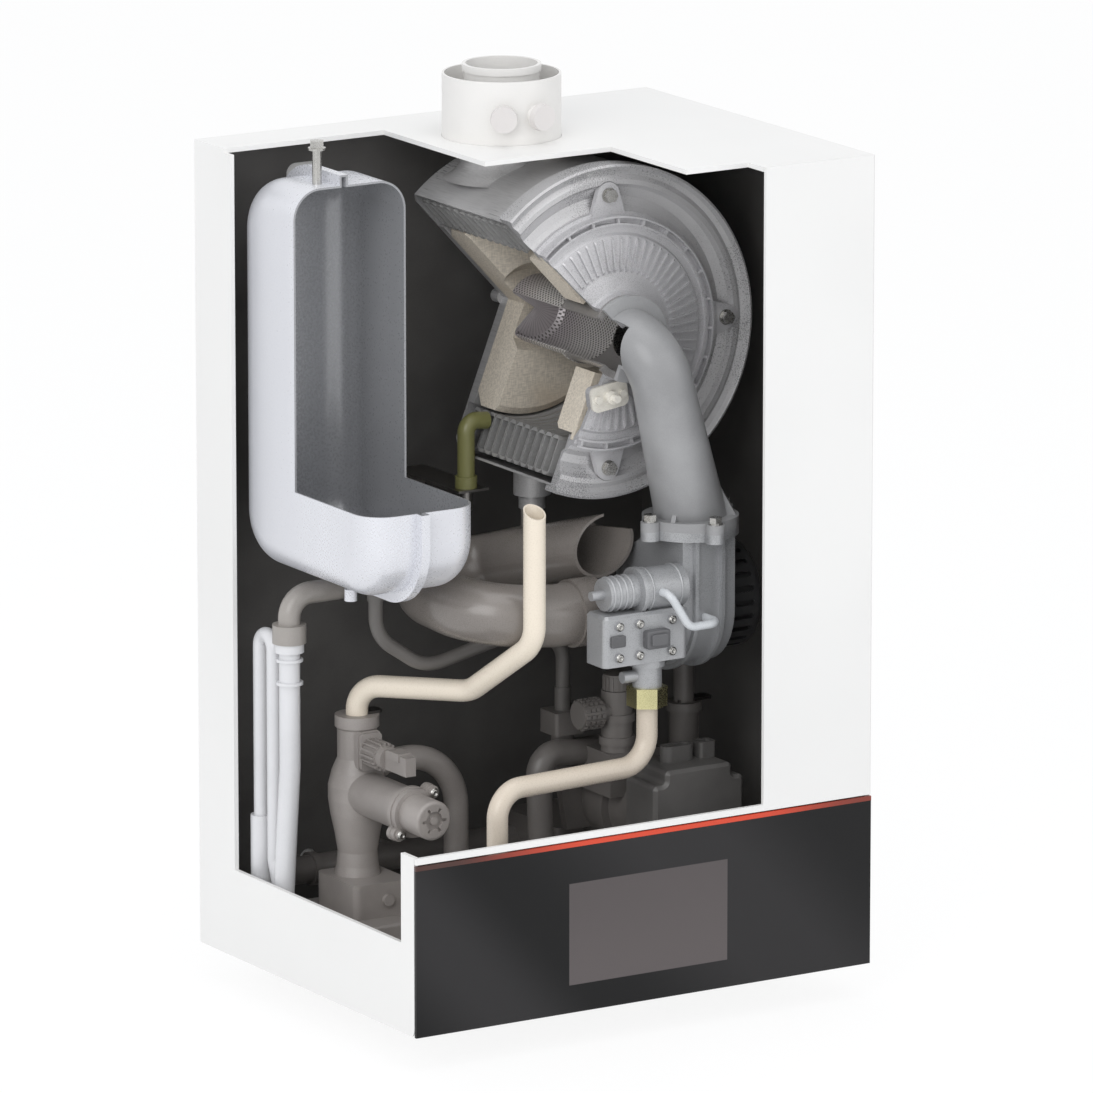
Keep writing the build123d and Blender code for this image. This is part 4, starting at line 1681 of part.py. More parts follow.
with BuildPart() as drip_tray:
    with BuildSketch(Plane.XY.offset(BOTTOM_T)) as tray:
        with Locations((TRAY_X, -TRAY_DEPTH)):
            RectangleRounded(98.0, 112.0, 22.0)
    extrude(tray.sketch, amount=TRAY_TOP - BOTTOM_T)
    fillet(drip_tray.faces().sort_by(Axis.Z)[-1].edges(), radius=3.0)
    with BuildSketch(Plane.XY.offset(BOTTOM_T)) as inside:
        with Locations((TRAY_X, -TRAY_DEPTH)):
            RectangleRounded(92.0, 106.0, 19.0)
    extrude(inside.sketch, amount=TRAY_TOP - BOTTOM_T - 5.0, mode=Mode.SUBTRACT)
    upright_bar(DIVERTER_X, STUB_DEPTH, BOTTOM_T, TRAY_TOP, STUB_R + CONTACT_GAP, mode=Mode.SUBTRACT)
drip_tray.part.label = "drip_tray"
export_step(drip_tray.part, "parts/drip_tray.step")

# Hot water pipe that arches out of the diverter and down to its connection
with BuildPart() as arch_pipe:
    bent_rod(
        (
            (DIVERTER_X + 26.0, -DIVERTER_DEPTH, 170.0),
            (-40.0, -DIVERTER_DEPTH, 170.0),
            (-40.0, -DIVERTER_DEPTH, 72.0),
            (STUB_XS[1], -STUB_DEPTH, 40.0),
            (STUB_XS[1], -STUB_DEPTH, STUB_TOP),
        ),
        (48.0, 18.0, 12.0),
        10.6,
    )
arch_pipe.part.label = "arch_pipe"
export_step(arch_pipe.part, "parts/arch_pipe.step")
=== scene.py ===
"""Looks of the cut-away gas boiler: finishes, the small pieces that its solids carry, light and camera."""

import logging
import math
from dataclasses import dataclass
from enum import Enum

import bpy
import numpy as np
from mathutils import Matrix, Vector


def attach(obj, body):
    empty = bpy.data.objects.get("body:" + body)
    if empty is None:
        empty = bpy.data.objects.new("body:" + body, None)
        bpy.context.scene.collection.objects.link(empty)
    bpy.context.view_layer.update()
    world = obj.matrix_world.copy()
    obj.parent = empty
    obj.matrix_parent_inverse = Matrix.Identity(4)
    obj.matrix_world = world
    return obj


log = logging.getLogger("boiler")
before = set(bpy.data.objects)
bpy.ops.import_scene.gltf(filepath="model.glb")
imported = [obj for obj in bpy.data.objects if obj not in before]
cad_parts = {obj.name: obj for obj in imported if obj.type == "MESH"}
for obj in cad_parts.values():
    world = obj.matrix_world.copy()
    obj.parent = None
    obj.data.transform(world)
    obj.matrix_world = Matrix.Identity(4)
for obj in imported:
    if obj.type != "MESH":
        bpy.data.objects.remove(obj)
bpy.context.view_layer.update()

Colour = tuple[float, float, float]
Point = tuple[float, float, float]
Box = tuple[Point, Point]
Grid = tuple[np.ndarray, np.ndarray]


def lin(red: float, green: float, blue: float) -> tuple[float, float, float, float]:
    """Colour written as on a screen, 0 to 255, turned into linear light.

    Each channel c becomes ((c/255 + 0.055) / 1.055) to the power 2.4.

    Args:
        red: red channel.
        green: green channel.
        blue: blue channel.

    Returns:
        Linear red, green, blue and a full alpha.
    """
    return tuple(((c / 255 + 0.055) / 1.055) ** 2.4 for c in (red, green, blue)) + (1.0,)


class Sock:
    """A shader socket that adds Math nodes when Python arithmetic meets it."""

    def __init__(self, shader: "Shader", out: bpy.types.NodeSocket) -> None:
        """Keeps the shader and the output socket."""
        self.shader = shader
        self.out = out

    def __add__(self, other: "Sock | float") -> "Sock":
        """Sum."""
        return self.shader.math("ADD", self, other)

    __radd__ = __add__

    def __mul__(self, other: "Sock | float") -> "Sock":
        """Product."""
        return self.shader.math("MULTIPLY", self, other)

    __rmul__ = __mul__

    def __sub__(self, other: "Sock | float") -> "Sock":
        """Difference."""
        return self.shader.math("SUBTRACT", self, other)

    def __rsub__(self, other: "Sock | float") -> "Sock":
        """Difference with the number first."""
        return self.shader.math("SUBTRACT", other, self)


class Shader:
    """One node tree, of a material or a world, with a single method that makes its nodes."""

    def __init__(self, name: str, world: bool = False) -> None:
        """Makes an empty tree.

        Args:
            name: the finish or the world in plain words.
            world: whether the tree is a world's.
        """
        self.material = (bpy.data.worlds if world else bpy.data.materials).new(name)
        self.material.use_nodes = True
        self.tree = self.material.node_tree
        self.tree.nodes.clear()
        self.place = self.node("ShaderNodeTexCoord").outputs["Object"]

    def shown(self) -> "Sock":
        """1 for rays that show the background: from the camera, off gloss or through glass."""
        path = self.node("ShaderNodeLightPath")
        camera, gloss, glass = (
            Sock(self, path.outputs[f"Is {kind} Ray"]) for kind in ("Camera", "Glossy", "Transmission")
        )
        return self.math("MINIMUM", camera + gloss + glass, 1.0)

    def node(self, kind: str, settings: dict | None = None, **inputs: object) -> bpy.types.Node:
        """Makes a node, sets its settings, then fills or links its sockets.

        Args:
            kind: Blender's node type.
            settings: the node's own properties, by name.
            inputs: values, sockets or Socks by socket name, with _ for a space, or i0, i1 by number.

        Returns:
            The node.
        """
        made = self.tree.nodes.new(kind)
        for key, value in (settings or {}).items():
            setattr(made, key, value)
        for key, value in inputs.items():
            numbered = key[0] == "i" and key[1:].isdigit()
            socket = made.inputs[int(key[1:]) if numbered else key.replace("_", " ")]
            if isinstance(value, Sock):
                value = value.out
            if isinstance(value, bpy.types.NodeSocket):
                self.tree.links.new(value, socket)
            else:
                socket.default_value = value
        return made

    def math(self, operation: str, first: Sock | float, second: Sock | float = 0.0) -> Sock:
        """One Math node.

        Args:
            operation: Blender's name of the sum.
            first: first term.
            second: second term.

        Returns:
            Its result.
        """
        made = self.node("ShaderNodeMath", {"operation": operation}, i0=first, i1=second)
        return Sock(self, made.outputs[0])

    def axes(self) -> tuple[Sock, Sock, Sock]:
        """The object coordinates, one Sock an axis."""
        parts = self.node("ShaderNodeSeparateXYZ", None, Vector=self.place)
        return tuple(Sock(self, parts.outputs[i]) for i in range(3))

    def noise(self, scale: float, detail: float = 3.0, stretch: Point | None = None) -> Sock:
        """Noise from 0 to 1.

        Args:
            scale: patches a metre.
            detail: octaves.
            stretch: how much finer the pattern is along each axis.

        Returns:
            The noise value.
        """
        place = self.place
        if stretch:
            place = self.node("ShaderNodeMapping", None, Vector=place, Scale=stretch).outputs[0]
        made = self.node("ShaderNodeTexNoise", None, Vector=place, Scale=scale, Detail=detail)
        return Sock(self, made.outputs["Fac"])

    def span(
        self, value: Sock, low: float, high: float, to_low: float = 0.0, to_high: float = 1.0
    ) -> Sock:
        """Stretches a range of a value onto another range, smoothly, and clamps it.

        Args:
            value: the value to remap.
            low: where the ramp starts.
            high: where it ends.
            to_low: result at the start.
            to_high: result at the end.

        Returns:
            The remapped value.
        """
        settings = {"interpolation_type": "SMOOTHSTEP"}
        made = self.node(
            "ShaderNodeMapRange", settings, Value=value,
            From_Min=low, From_Max=high, To_Min=to_low, To_Max=to_high,
        )
        return Sock(self, made.outputs[0])

    def blend(self, amount: Sock | float, first: object, second: object) -> Sock:
        """Mixes two colours.

        Args:
            amount: 0 gives the first, 1 the second.
            first: a colour or a Sock.
            second: a colour or a Sock.

        Returns:
            The mixed colour.
        """
        made = self.node("ShaderNodeMix", {"data_type": "RGBA"}, i0=amount, i6=first, i7=second)
        return Sock(self, made.outputs[2])

    def bump(self, height: Sock, depth: float, strength: float = 1.0) -> Sock:
        """Bump from a height.

        Args:
            height: 0 to 1.
            depth: metres between the two.
            strength: share of the effect.

        Returns:
            The normal.
        """
        made = self.node("ShaderNodeBump", None, Height=height, Distance=depth, Strength=strength)
        return Sock(self, made.outputs[0])

    def close(self, **inputs: object) -> bpy.types.Material:
        """Ends the tree in a Principled shader.

        Args:
            inputs: the shader's sockets.

        Returns:
            The material.
        """
        shader = self.node("ShaderNodeBsdfPrincipled", None, **inputs)
        self.node("ShaderNodeOutputMaterial", None, Surface=shader.outputs[0])
        return self.material


class Lay(Enum):
    """The way in which a metal was drawn, as the pattern's fineness along X, Y and Z."""

    ALONG_Y = (1.0, 0.06, 1.0)
    ALONG_Z = (1.0, 1.0, 0.06)
    EVEN = (1.0, 1.0, 1.0)


@dataclass(frozen=True)
class PowderCoat:
    """Stoved powder paint: fine orange peel and a faint drift of tone."""

    name: str
    colour: Colour
    rough: float = 0.42

    def material(self) -> bpy.types.Material:
        """Base is 4.5 percent darker where a broad noise is high; the bump is a fine noise 0.03 mm deep."""
        shader = Shader(self.name)
        drift = shader.noise(4.0, 2.0)
        peel = shader.noise(900.0, 2.0)
        darker = tuple(c * 0.955 for c in lin(*self.colour)[:3]) + (1.0,)
        return shader.close(
            Base_Color=shader.blend(shader.span(drift, 0.3, 0.75), lin(*self.colour), darker),
            Roughness=shader.span(peel, 0.3, 0.7, self.rough - 0.05, self.rough + 0.06),
            Normal=shader.bump(peel, 0.00003, 0.6),
        )


@dataclass(frozen=True)
class Moulded:
    """Moulded plastic: fine grain and broad flow marks."""

    name: str
    colour: Colour
    rough: float = 0.45
    coat: float = 0.0
    grain: float = 1400.0
    marks: float = 0.16

    def material(self) -> bpy.types.Material:
        """Tone and roughness are each two noises mixed, broad flow marks and fine grain."""
        shader = Shader(self.name)
        flow = shader.noise(14.0, 4.0)
        grain = shader.noise(self.grain, 3.0)
        dulled = grain * 0.6 + flow * 0.4
        base = lin(*self.colour)
        dark = tuple(c * (1.0 - self.marks) for c in base[:3]) + (1.0,)
        pale = tuple(min(1.0, c * (1.0 + self.marks) + 0.004) for c in base[:3]) + (1.0,)
        tone = shader.span(flow * 0.75 + grain * 0.25, 0.32, 0.68)
        return shader.close(
            Base_Color=shader.blend(tone, dark, pale),
            Roughness=shader.span(dulled, 0.3, 0.7, self.rough - 0.07, self.rough + 0.08),
            Coat_Weight=self.coat,
            Coat_Roughness=0.12,
            Normal=shader.bump(grain, 0.00005, 0.5),
        )


@dataclass(frozen=True)
class DrawnMetal:
    """Rolled, drawn or ground metal, with lines along its lay and darker stains."""

    name: str
    colour: Colour
    rough: float = 0.3
    lay: Lay = Lay.EVEN
    metal: float = 1.0
    lines: float = 900.0

    def material(self) -> bpy.types.Material:
        """Tone and roughness mix a noise stretched along the lay with stains; the lines are the bump."""
        shader = Shader(self.name)
        lines = shader.noise(self.lines, 4.0, self.lay.value)
        stain = shader.noise(18.0, 5.0)
        worn = lines * 0.5 + stain * 0.5
        base = lin(*self.colour)
        dark = tuple(c * 0.74 for c in base[:3]) + (1.0,)
        tone = shader.span(lines * 0.45 + stain * 0.55, 0.3, 0.62)
        return shader.close(
            Base_Color=shader.blend(tone, dark, base),
            Metallic=self.metal,
            Roughness=shader.span(worn, 0.3, 0.7, self.rough - 0.08, self.rough + 0.14),
            Normal=shader.bump(lines, 0.00002, 0.55),
        )


@dataclass(frozen=True)
class VesselEnamel:
    """Silvery enamel of the vessel, bright outside, with painted shade on the surfaces that face its middle
    and vertical streaks of painted reflection.
    """

    name: str
    outer: Colour
    inner: Colour
    middle: Point = (-0.158, -0.150, 0.500)

    def material(self) -> bpy.types.Material:
        """A surface is inside where (its place - the middle) times its normal is below 0; inside surfaces
        take the painted shade colour.
        """
        shader = Shader(self.name)
        normal = shader.node("ShaderNodeTexCoord").outputs["Normal"]
        away = shader.node("ShaderNodeVectorMath", {"operation": "SUBTRACT"}, i0=shader.place, i1=self.middle)
        away = away.outputs[0]
        facing = shader.node("ShaderNodeVectorMath", {"operation": "DOT_PRODUCT"}, i0=away, i1=normal)
        # Mask of the surfaces that face the middle, which get painted shade.
        inside = shader.span(Sock(shader, facing.outputs["Value"]), -0.004, 0.004, 1.0, 0.0)
        # Vertical streaks stretched along Z that slightly darken the tone between lighter ones: painted
        # reflection.
        flow = shader.noise(9.0, 4.0, Lay.ALONG_Z.value)
        fine = shader.noise(500.0, 3.0)
        cloud = shader.span(flow * 0.8 + fine * 0.2, 0.35, 0.65, 0.0, 0.4)
        bright = shader.blend(cloud, lin(*self.outer), lin(*(c * 0.88 for c in self.outer)))
        dull = shader.blend(cloud, lin(*self.inner), lin(*(c * 0.82 for c in self.inner)))
        return shader.close(
            Base_Color=shader.blend(inside, bright, dull),
            Metallic=0.3,
            Roughness=shader.span(fine * 0.5 + flow * 0.5, 0.3, 0.7, 0.24, 0.4),
            Normal=shader.bump(fine, 0.00003, 0.5),
        )


@dataclass(frozen=True)
class CastMetal:
    """Die-cast aluminium, shot-blasted: fine pits and flow shading."""

    name: str
    colour: Colour
    rough: float = 0.48

    def material(self) -> bpy.types.Material:
        """A pit is the middle of a cell; tone and roughness mix a broad noise with the pits."""
        shader = Shader(self.name)
        cells = shader.node("ShaderNodeTexVoronoi", {"feature": "F1"}, Vector=shader.place, Scale=1100.0)
        pits = shader.span(Sock(shader, cells.outputs["Distance"]), 0.05, 0.55)
        flow = shader.noise(22.0, 5.0)
        blasted = flow * 0.5 + pits * 0.5
        base = lin(*self.colour)
        dark = tuple(c * 0.62 for c in base[:3]) + (1.0,)
        return shader.close(
            Base_Color=shader.blend(shader.span(flow * 0.7 + pits * 0.3, 0.3, 0.62), dark, base),
            Metallic=0.4,
            Roughness=shader.span(blasted, 0.25, 0.8, self.rough + 0.1, self.rough - 0.06),
            Normal=shader.bump(pits, 0.00006, 0.7),
        )


@dataclass(frozen=True)
class PressedFibre:
    """Pressed ceramic fibre: matted threads, soft dents and scorched patches."""

    name: str
    colour: Colour
    scorch: Colour

    def material(self) -> bpy.types.Material:
        """Threads are two crossed stretched noises; scorch lies where a broad noise is high."""
        shader = Shader(self.name)
        warp = shader.noise(1500.0, 4.0, (0.12, 1.0, 0.5))
        weft = shader.noise(1300.0, 4.0, (1.0, 0.4, 0.1))
        threads = warp * 0.5 + weft * 0.5
        dents = shader.noise(70.0, 3.0)
        scorch = shader.span(shader.noise(12.0, 4.0), 0.5, 0.75, 0.0, 0.7)
        base = lin(*self.colour)
        deep = tuple(c * 0.7 for c in base[:3]) + (1.0,)
        cloth = shader.blend(shader.span(threads, 0.35, 0.65), deep, base)
        return shader.close(
            Base_Color=shader.blend(scorch, cloth, lin(*self.scorch)),
            Roughness=0.95,
            Normal=shader.bump(threads * 0.6 + dents * 0.4, 0.0005, 0.8),
        )


@dataclass(frozen=True)
class Perforated:
    """Burner sheet: rows of small holes about the burner's axis, blued by heat towards its end."""

    name: str
    axis_x: float
    axis_z: float
    radius: float = 0.030
    pitch: float = 0.0042

    def material(self) -> bpy.types.Material:
        """A hole lies where the product of two sines is high, one along the axis and one round it."""
        shader = Shader(self.name)
        x, y, z = shader.axes()
        angle = shader.math("ARCTAN2", z - self.axis_z, x - self.axis_x)
        across = shader.math("SINE", angle * (2 * math.pi * self.radius / self.pitch))
        along = shader.math("SINE", y * (2 * math.pi / self.pitch))
        hole = shader.span(across * along, 0.1, 0.5)
        heat = shader.span(y, -0.17, -0.115)
        steel = shader.blend(heat, lin(222, 219, 216), lin(186, 180, 182))
        return shader.close(
            Base_Color=shader.blend(hole, steel, lin(96, 92, 90)),
            Metallic=0.45 - hole * 0.3,
            Roughness=shader.span(shader.noise(60.0), 0.3, 0.7, 0.3, 0.5),
            Normal=shader.bump(1.0 - hole, 0.0003, 0.8),
        )


@dataclass(frozen=True)
class DarkGlass:
    """Printed black glass: two soft slanting bands of painted reflection, and the paler window before the
    screen.
    """

    name: str
    deep: Colour
    sheen: Colour
    screen: Colour
    middle: tuple[float, float] = (0.002, 0.068)
    half: tuple[float, float] = (0.0785, 0.044)
    edge: float = 0.0004
    slant: float = 0.9

    def material(self) -> bpy.types.Material:
        """Both bands of painted reflection follow x + slant z; the window is where x and z are within half of
        its middle, with painted shade towards its top.
        """
        shader = Shader(self.name)
        x, _, z = shader.axes()
        lean = x + z * self.slant
        # The right and left slanting bands are painted reflection.
        right = shader.span(lean, -0.02, 0.15) * shader.span(lean, 0.17, 0.3, 1.0, 0.1)
        left = shader.span(lean, -0.24, -0.14) * shader.span(lean, -0.12, -0.04, 1.0, 0.1)
        smear = shader.noise(9.0, 3.0)
        across = shader.math("ABSOLUTE", x - self.middle[0])
        along = shader.math("ABSOLUTE", z - self.middle[1])
        inside = shader.span(across, self.half[0] - self.edge, self.half[0], 1.0, 0.0)
        inside = inside * shader.span(along, self.half[1] - self.edge, self.half[1], 1.0, 0.0)
        body = shader.blend(right + left, lin(*self.deep), lin(*self.sheen))
        # The screen window is painted darker towards its top: painted shade.
        lit = shader.span(z, 0.02, 0.12, 1.0, 0.82)
        return shader.close(
            Base_Color=shader.blend(inside * lit, body, lin(*self.screen)),
            Roughness=shader.span(smear, 0.3, 0.7, 0.16, 0.24),
            Specular_IOR_Level=0.22,
        )


@dataclass(frozen=True)
class LightLine:
    """Glowing strip over the glass, which fades towards both ends."""

    name: str
    core: Colour
    unlit: Colour
    left_fade: tuple[float, float] = (-0.19, -0.05)
    right_fade: tuple[float, float] = (0.1, 0.215)

    def material(self) -> bpy.types.Material:
        """Along x the glow rises from 0 to 1 over the left fade and falls to a quarter over the right one."""
        shader = Shader(self.name)
        x, _, _ = shader.axes()
        glow = shader.span(x, *self.left_fade) * shader.span(x, *self.right_fade, 1.0, 0.25)
        mottle = shader.span(shader.noise(120.0), 0.3, 0.7, 0.9, 1.0)
        return shader.close(
            Base_Color=shader.blend(glow, lin(*self.unlit), lin(*self.core)),
            Emission_Color=shader.blend(glow * mottle, (0.0, 0.0, 0.0, 1.0), lin(*self.core)),
            Emission_Strength=0.12,
            Roughness=0.3,
        )


def dress(finish: object, *nodes: str) -> None:
    """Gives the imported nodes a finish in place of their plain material.

    Args:
        finish: anything with a material method.
        nodes: node names.
    """
    material = finish.material()
    for name in nodes:
        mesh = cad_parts[name].data
        mesh.materials.clear()
        mesh.materials.append(material)
        log.info("%s dressed in %s", name, material.name)


def put(name: str, verts: np.ndarray, faces: np.ndarray, finish: object, body: str, slot: str) -> None:
    """Makes a piece from arrays, gives it a finish and lets it ride.

    Args:
        name: piece name.
        verts: points, one a row, in metres.
        faces: four corners a row.
        finish: anything with a material method.
        body: the body it rides on.
        slot: the record's material slot; not used.
    """
    mesh = bpy.data.meshes.new(name)
    mesh.vertices.add(len(verts))
    mesh.vertices.foreach_set("co", np.ascontiguousarray(verts, dtype=np.float32).ravel())
    mesh.loops.add(faces.size)
    mesh.loops.foreach_set("vertex_index", np.ascontiguousarray(faces, dtype=np.int32).ravel())
    mesh.polygons.add(len(faces))
    mesh.polygons.foreach_set("loop_start", np.arange(0, faces.size, faces.shape[1], dtype=np.int32))
    mesh.update(calc_edges=True)
    mesh.validate()
    mesh.materials.append(finish.material())
    piece = bpy.data.objects.new(name, mesh)
    bpy.context.scene.collection.objects.link(piece)
    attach(piece, body)
    log.info("%s: %d faces, rides %s", name, len(faces), body)


def grid_faces(rows: int, columns: int, wrap: bool) -> np.ndarray:
    """Corner numbers of the quads between neighbouring rows and columns of a grid.

    Args:
        rows: points along the path.
        columns: points across it.
        wrap: whether the last column joins the first.

    Returns:
        Four corners a row.
    """
    steps = columns if wrap else columns - 1
    row, column = np.meshgrid(np.arange(rows - 1), np.arange(steps), indexing="ij")
    after = (column + 1) % columns
    near, far = row * columns, (row + 1) * columns
    return np.stack([near + column, near + after, far + after, far + column], -1).reshape(-1, 4)


def circle_about(along: np.ndarray, turn: np.ndarray) -> np.ndarray:
    """Directions square to an axis: cos t times one cross direction + sin t times the other.

    Args:
        along: the axis, of length 1.
        turn: the angles t.

    Returns:
        One direction a row.
    """
    helper = np.array([0.0, 0.0, 1.0]) if abs(along[2]) < 0.9 else np.array([1.0, 0.0, 0.0])
    first = np.cross(helper, along)
    first /= np.linalg.norm(first)
    second = np.cross(along, first)
    return np.cos(turn)[:, None] * first + np.sin(turn)[:, None] * second


def turned(profile: np.ndarray, at: np.ndarray, along: np.ndarray, sides: int) -> Grid:
    """Surface of revolution: a point is at + height times the axis + radius times a circle's direction.

    The profile starts and ends on the axis, so the surface is closed.

    Args:
        profile: radius and height, one point a row, from the seat to the tip.
        at: where the axis starts.
        along: the axis, of length 1.
        sides: points round.

    Returns:
        Points and quads.
    """
    ring = circle_about(along, np.linspace(0, 2 * np.pi, sides, endpoint=False))
    points = at + profile[:, 1, None, None] * along + profile[:, 0, None, None] * ring[None]
    return points.reshape(-1, 3), grid_faces(len(profile), sides, True)


def gathered(parts: list[Grid]) -> Grid:
    """Joins several grids into one: each grid's corner numbers move on by the points before it.

    Args:
        parts: points and quads of each grid.

    Returns:
        Points and quads of all.
    """
    starts = np.cumsum([0] + [len(points) for points, _ in parts[:-1]])
    quads = [faces + start for (_, faces), start in zip(parts, starts)]
    return np.concatenate([points for points, _ in parts]), np.concatenate(quads)


WHITE = PowderCoat("white powder coat", (238, 237, 235))
SCREW_STEEL = DrawnMetal("zinc screw", (176, 175, 172), 0.28)

# Outline of a screw head, as shares of the screw's radius and of the head's height.
HEAD_OUTLINE = np.array(
    [(0, 0), (1.25, 0), (1.25, 0.25), (1, 0.3), (1, 0.75), (0.82, 1), (0.45, 1), (0.38, 0.5), (0, 0.5)]
)


@dataclass
class ScrewSet:
    """Screws of one pattern: a washer face, a domed head and a driver recess."""

    name: str
    places: list[Point]
    along: Point
    radius: float = 0.0036
    height: float = 0.0026
    sides: int = 18

    def build(self) -> None:
        """Each head is a turned profile: rim, dome, then down into the recess and back to its middle."""
        profile = HEAD_OUTLINE * (self.radius, self.height)
        along = np.array(self.along, float)
        heads = [turned(profile, np.array(place), along, self.sides) for place in self.places]
        put(self.name, *gathered(heads), SCREW_STEEL, "case", "bolt_zinc")


def ring_about(
    at: np.ndarray, along: np.ndarray, large: float, small: float, around: int = 64, across: int = 10
) -> Grid:
    """Torus: at + (large + small cos v) times the circle's direction at u + small sin v times the axis.

    Args:
        at: middle of the ring.
        along: the ring's axis, of length 1.
        large: radius of the circle that the wire follows.
        small: radius of the wire.
        around: points round the circle.
        across: points round the wire.

    Returns:
        Points and quads, closed both ways and facing outwards.
    """
    turn = np.linspace(0, 2 * np.pi, around + 1)[:-1]
    wire = np.linspace(0, 2 * np.pi, across + 1)[:-1]
    circle = circle_about(along, turn)
    points = at + (large + small * np.cos(wire))[None, :, None] * circle[:, None]
    points = points + (small * np.sin(wire))[None, :, None] * along
    quads = grid_faces(around + 1, across, True) % (around * across)
    return points.reshape(-1, 3), quads[:, ::-1]


@dataclass
class RingSet:
    """Beads round one axis, all of one wire."""

    name: str
    start: Point
    along: Point
    places: tuple[float, ...]
    large: float
    small: float
    slot: str
    finish: object

    def build(self) -> None:
        """Sets a ring at each place along the axis."""
        start, along = np.array(self.start), np.array(self.along, float)
        rings = [ring_about(start + place * along, along, self.large, self.small) for place in self.places]
        put(self.name, *gathered(rings), self.finish, "case", self.slot)


def soft_block(low: Point, high: Point, rows: int = 25, columns: int = 48, power: float = 0.22) -> Grid:
    """Box with soft corners: a sphere's directions, each coordinate raised to a power, scaled to the box.

    Args:
        low: least corner.
        high: greatest corner.
        rows: points from pole to pole.
        columns: points round.
        power: 1 gives an ellipsoid, and 0 a box with sharp corners.

    Returns:
        Points and quads, facing outwards.
    """
    theta = np.linspace(0, np.pi, rows)[:, None]
    phi = np.linspace(0, 2 * np.pi, columns + 1)[:-1][None, :]
    height = np.cos(theta) * np.ones_like(phi)
    unit = np.stack([np.sin(theta) * np.cos(phi), np.sin(theta) * np.sin(phi), height], -1)
    unit = np.sign(unit) * np.abs(unit) ** power
    middle, half = (np.array(low) + high) / 2, (np.array(high) - low) / 2
    return (middle + unit * half).reshape(-1, 3), grid_faces(rows, columns, True)[:, ::-1]


@dataclass
class Case:
    """White case: panels, the dark liner behind them and the wall plate."""

    panels: tuple[str, ...] = (
        "left_side_panel", "right_side_panel", "top_panel", "front_panel", "back_plate", "bottom_plate",
    )

    def build(self) -> None:
        """Dresses the panels, the liner and the fittings under the case."""
        dress(WHITE, *self.panels)
        dress(Moulded("dark liner", (92, 90, 88), 0.7, 0.0, 700.0, 0.16), "sound_mats")
        dress(DrawnMetal("turned brass fitting", (196, 168, 110), 0.28), "connection_stubs")


@dataclass
class ControlUnit:
    """Fold-down control unit: glass front, screen, glowing line and the tray behind them."""

    def build(self) -> None:
        """Dresses the glass, the screen, the line and the electronics."""
        # (46, 45, 46) is the colour of the painted reflection bands.
        glass = DarkGlass("printed black glass", (17, 17, 18), (46, 45, 46), (96, 90, 90))
        dress(glass, "control_glass")
        dress(LightLine("glowing line", (205, 66, 38), (70, 40, 34)), "light_strip")
        dress(Moulded("screen bezel", (96, 91, 89), 0.3), "display_module")
        dress(Moulded("tray plastic", (58, 58, 58), 0.5), "control_housing")
        dress(Moulded("board lacquer", (28, 92, 52), 0.35, 0.4), "control_board")


@dataclass
class Flue:
    """Concentric flue connection with its two test caps."""

    def build(self) -> None:
        """Dresses the pipes and the caps."""
        pipe = Moulded("flue plastic", (230, 228, 225), 0.34, 0.2, 1800.0, 0.03)
        dress(pipe, "flue_outer_pipe", "flue_inner_pipe")
        cap = Moulded("cap plastic", (216, 212, 210), 0.4, 0.1, 1800.0, 0.04)
        dress(cap, "flue_gas_test_cap", "supply_air_test_cap")


@dataclass
class HeatExchanger:
    """Cut heat exchanger: jacket, coil, insulation, burner, door, electrode and flap."""

    centre_x: float = 0.042
    centre_z: float = 0.546

    def build(self) -> None:
        """Dresses the solids; the burner's holes go round the exchanger's axis."""
        sheet = DrawnMetal("pickled jacket sheet", (192, 191, 191), 0.34, Lay.ALONG_Y, 0.35)
        dress(sheet, "hx_jacket", "hx_rear_plate")
        dress(DrawnMetal("pressed dish", (200, 199, 200), 0.3, Lay.EVEN, 0.4), "front_dish")
        dress(DrawnMetal("ground coil tube", (178, 177, 176), 0.34, Lay.EVEN, 0.35), "hx_coil")
        fibre = PressedFibre("pressed fibre", (228, 218, 202), (198, 182, 160))
        dress(fibre, "rear_insulation", "front_insulation")
        dress(CastMetal("blasted door casting", (200, 199, 201)), "burner_door", "flap_frame")
        dress(Perforated("perforated burner sheet", self.centre_x, self.centre_z), "burner_cylinder")
        dress(DrawnMetal("burner tube steel", (160, 157, 155), 0.32, Lay.EVEN, 0.5), "burner_tube")
        dress(DrawnMetal("flap steel", (172, 170, 166), 0.24), "flap_disc")
        dress(Moulded("glazed ceramic", (226, 222, 212), 0.2, 0.6), "ignition_electrode")
        dress(DrawnMetal("zinc bolt", (188, 187, 184), 0.24), "flange_bolts", "vessel_bolt")


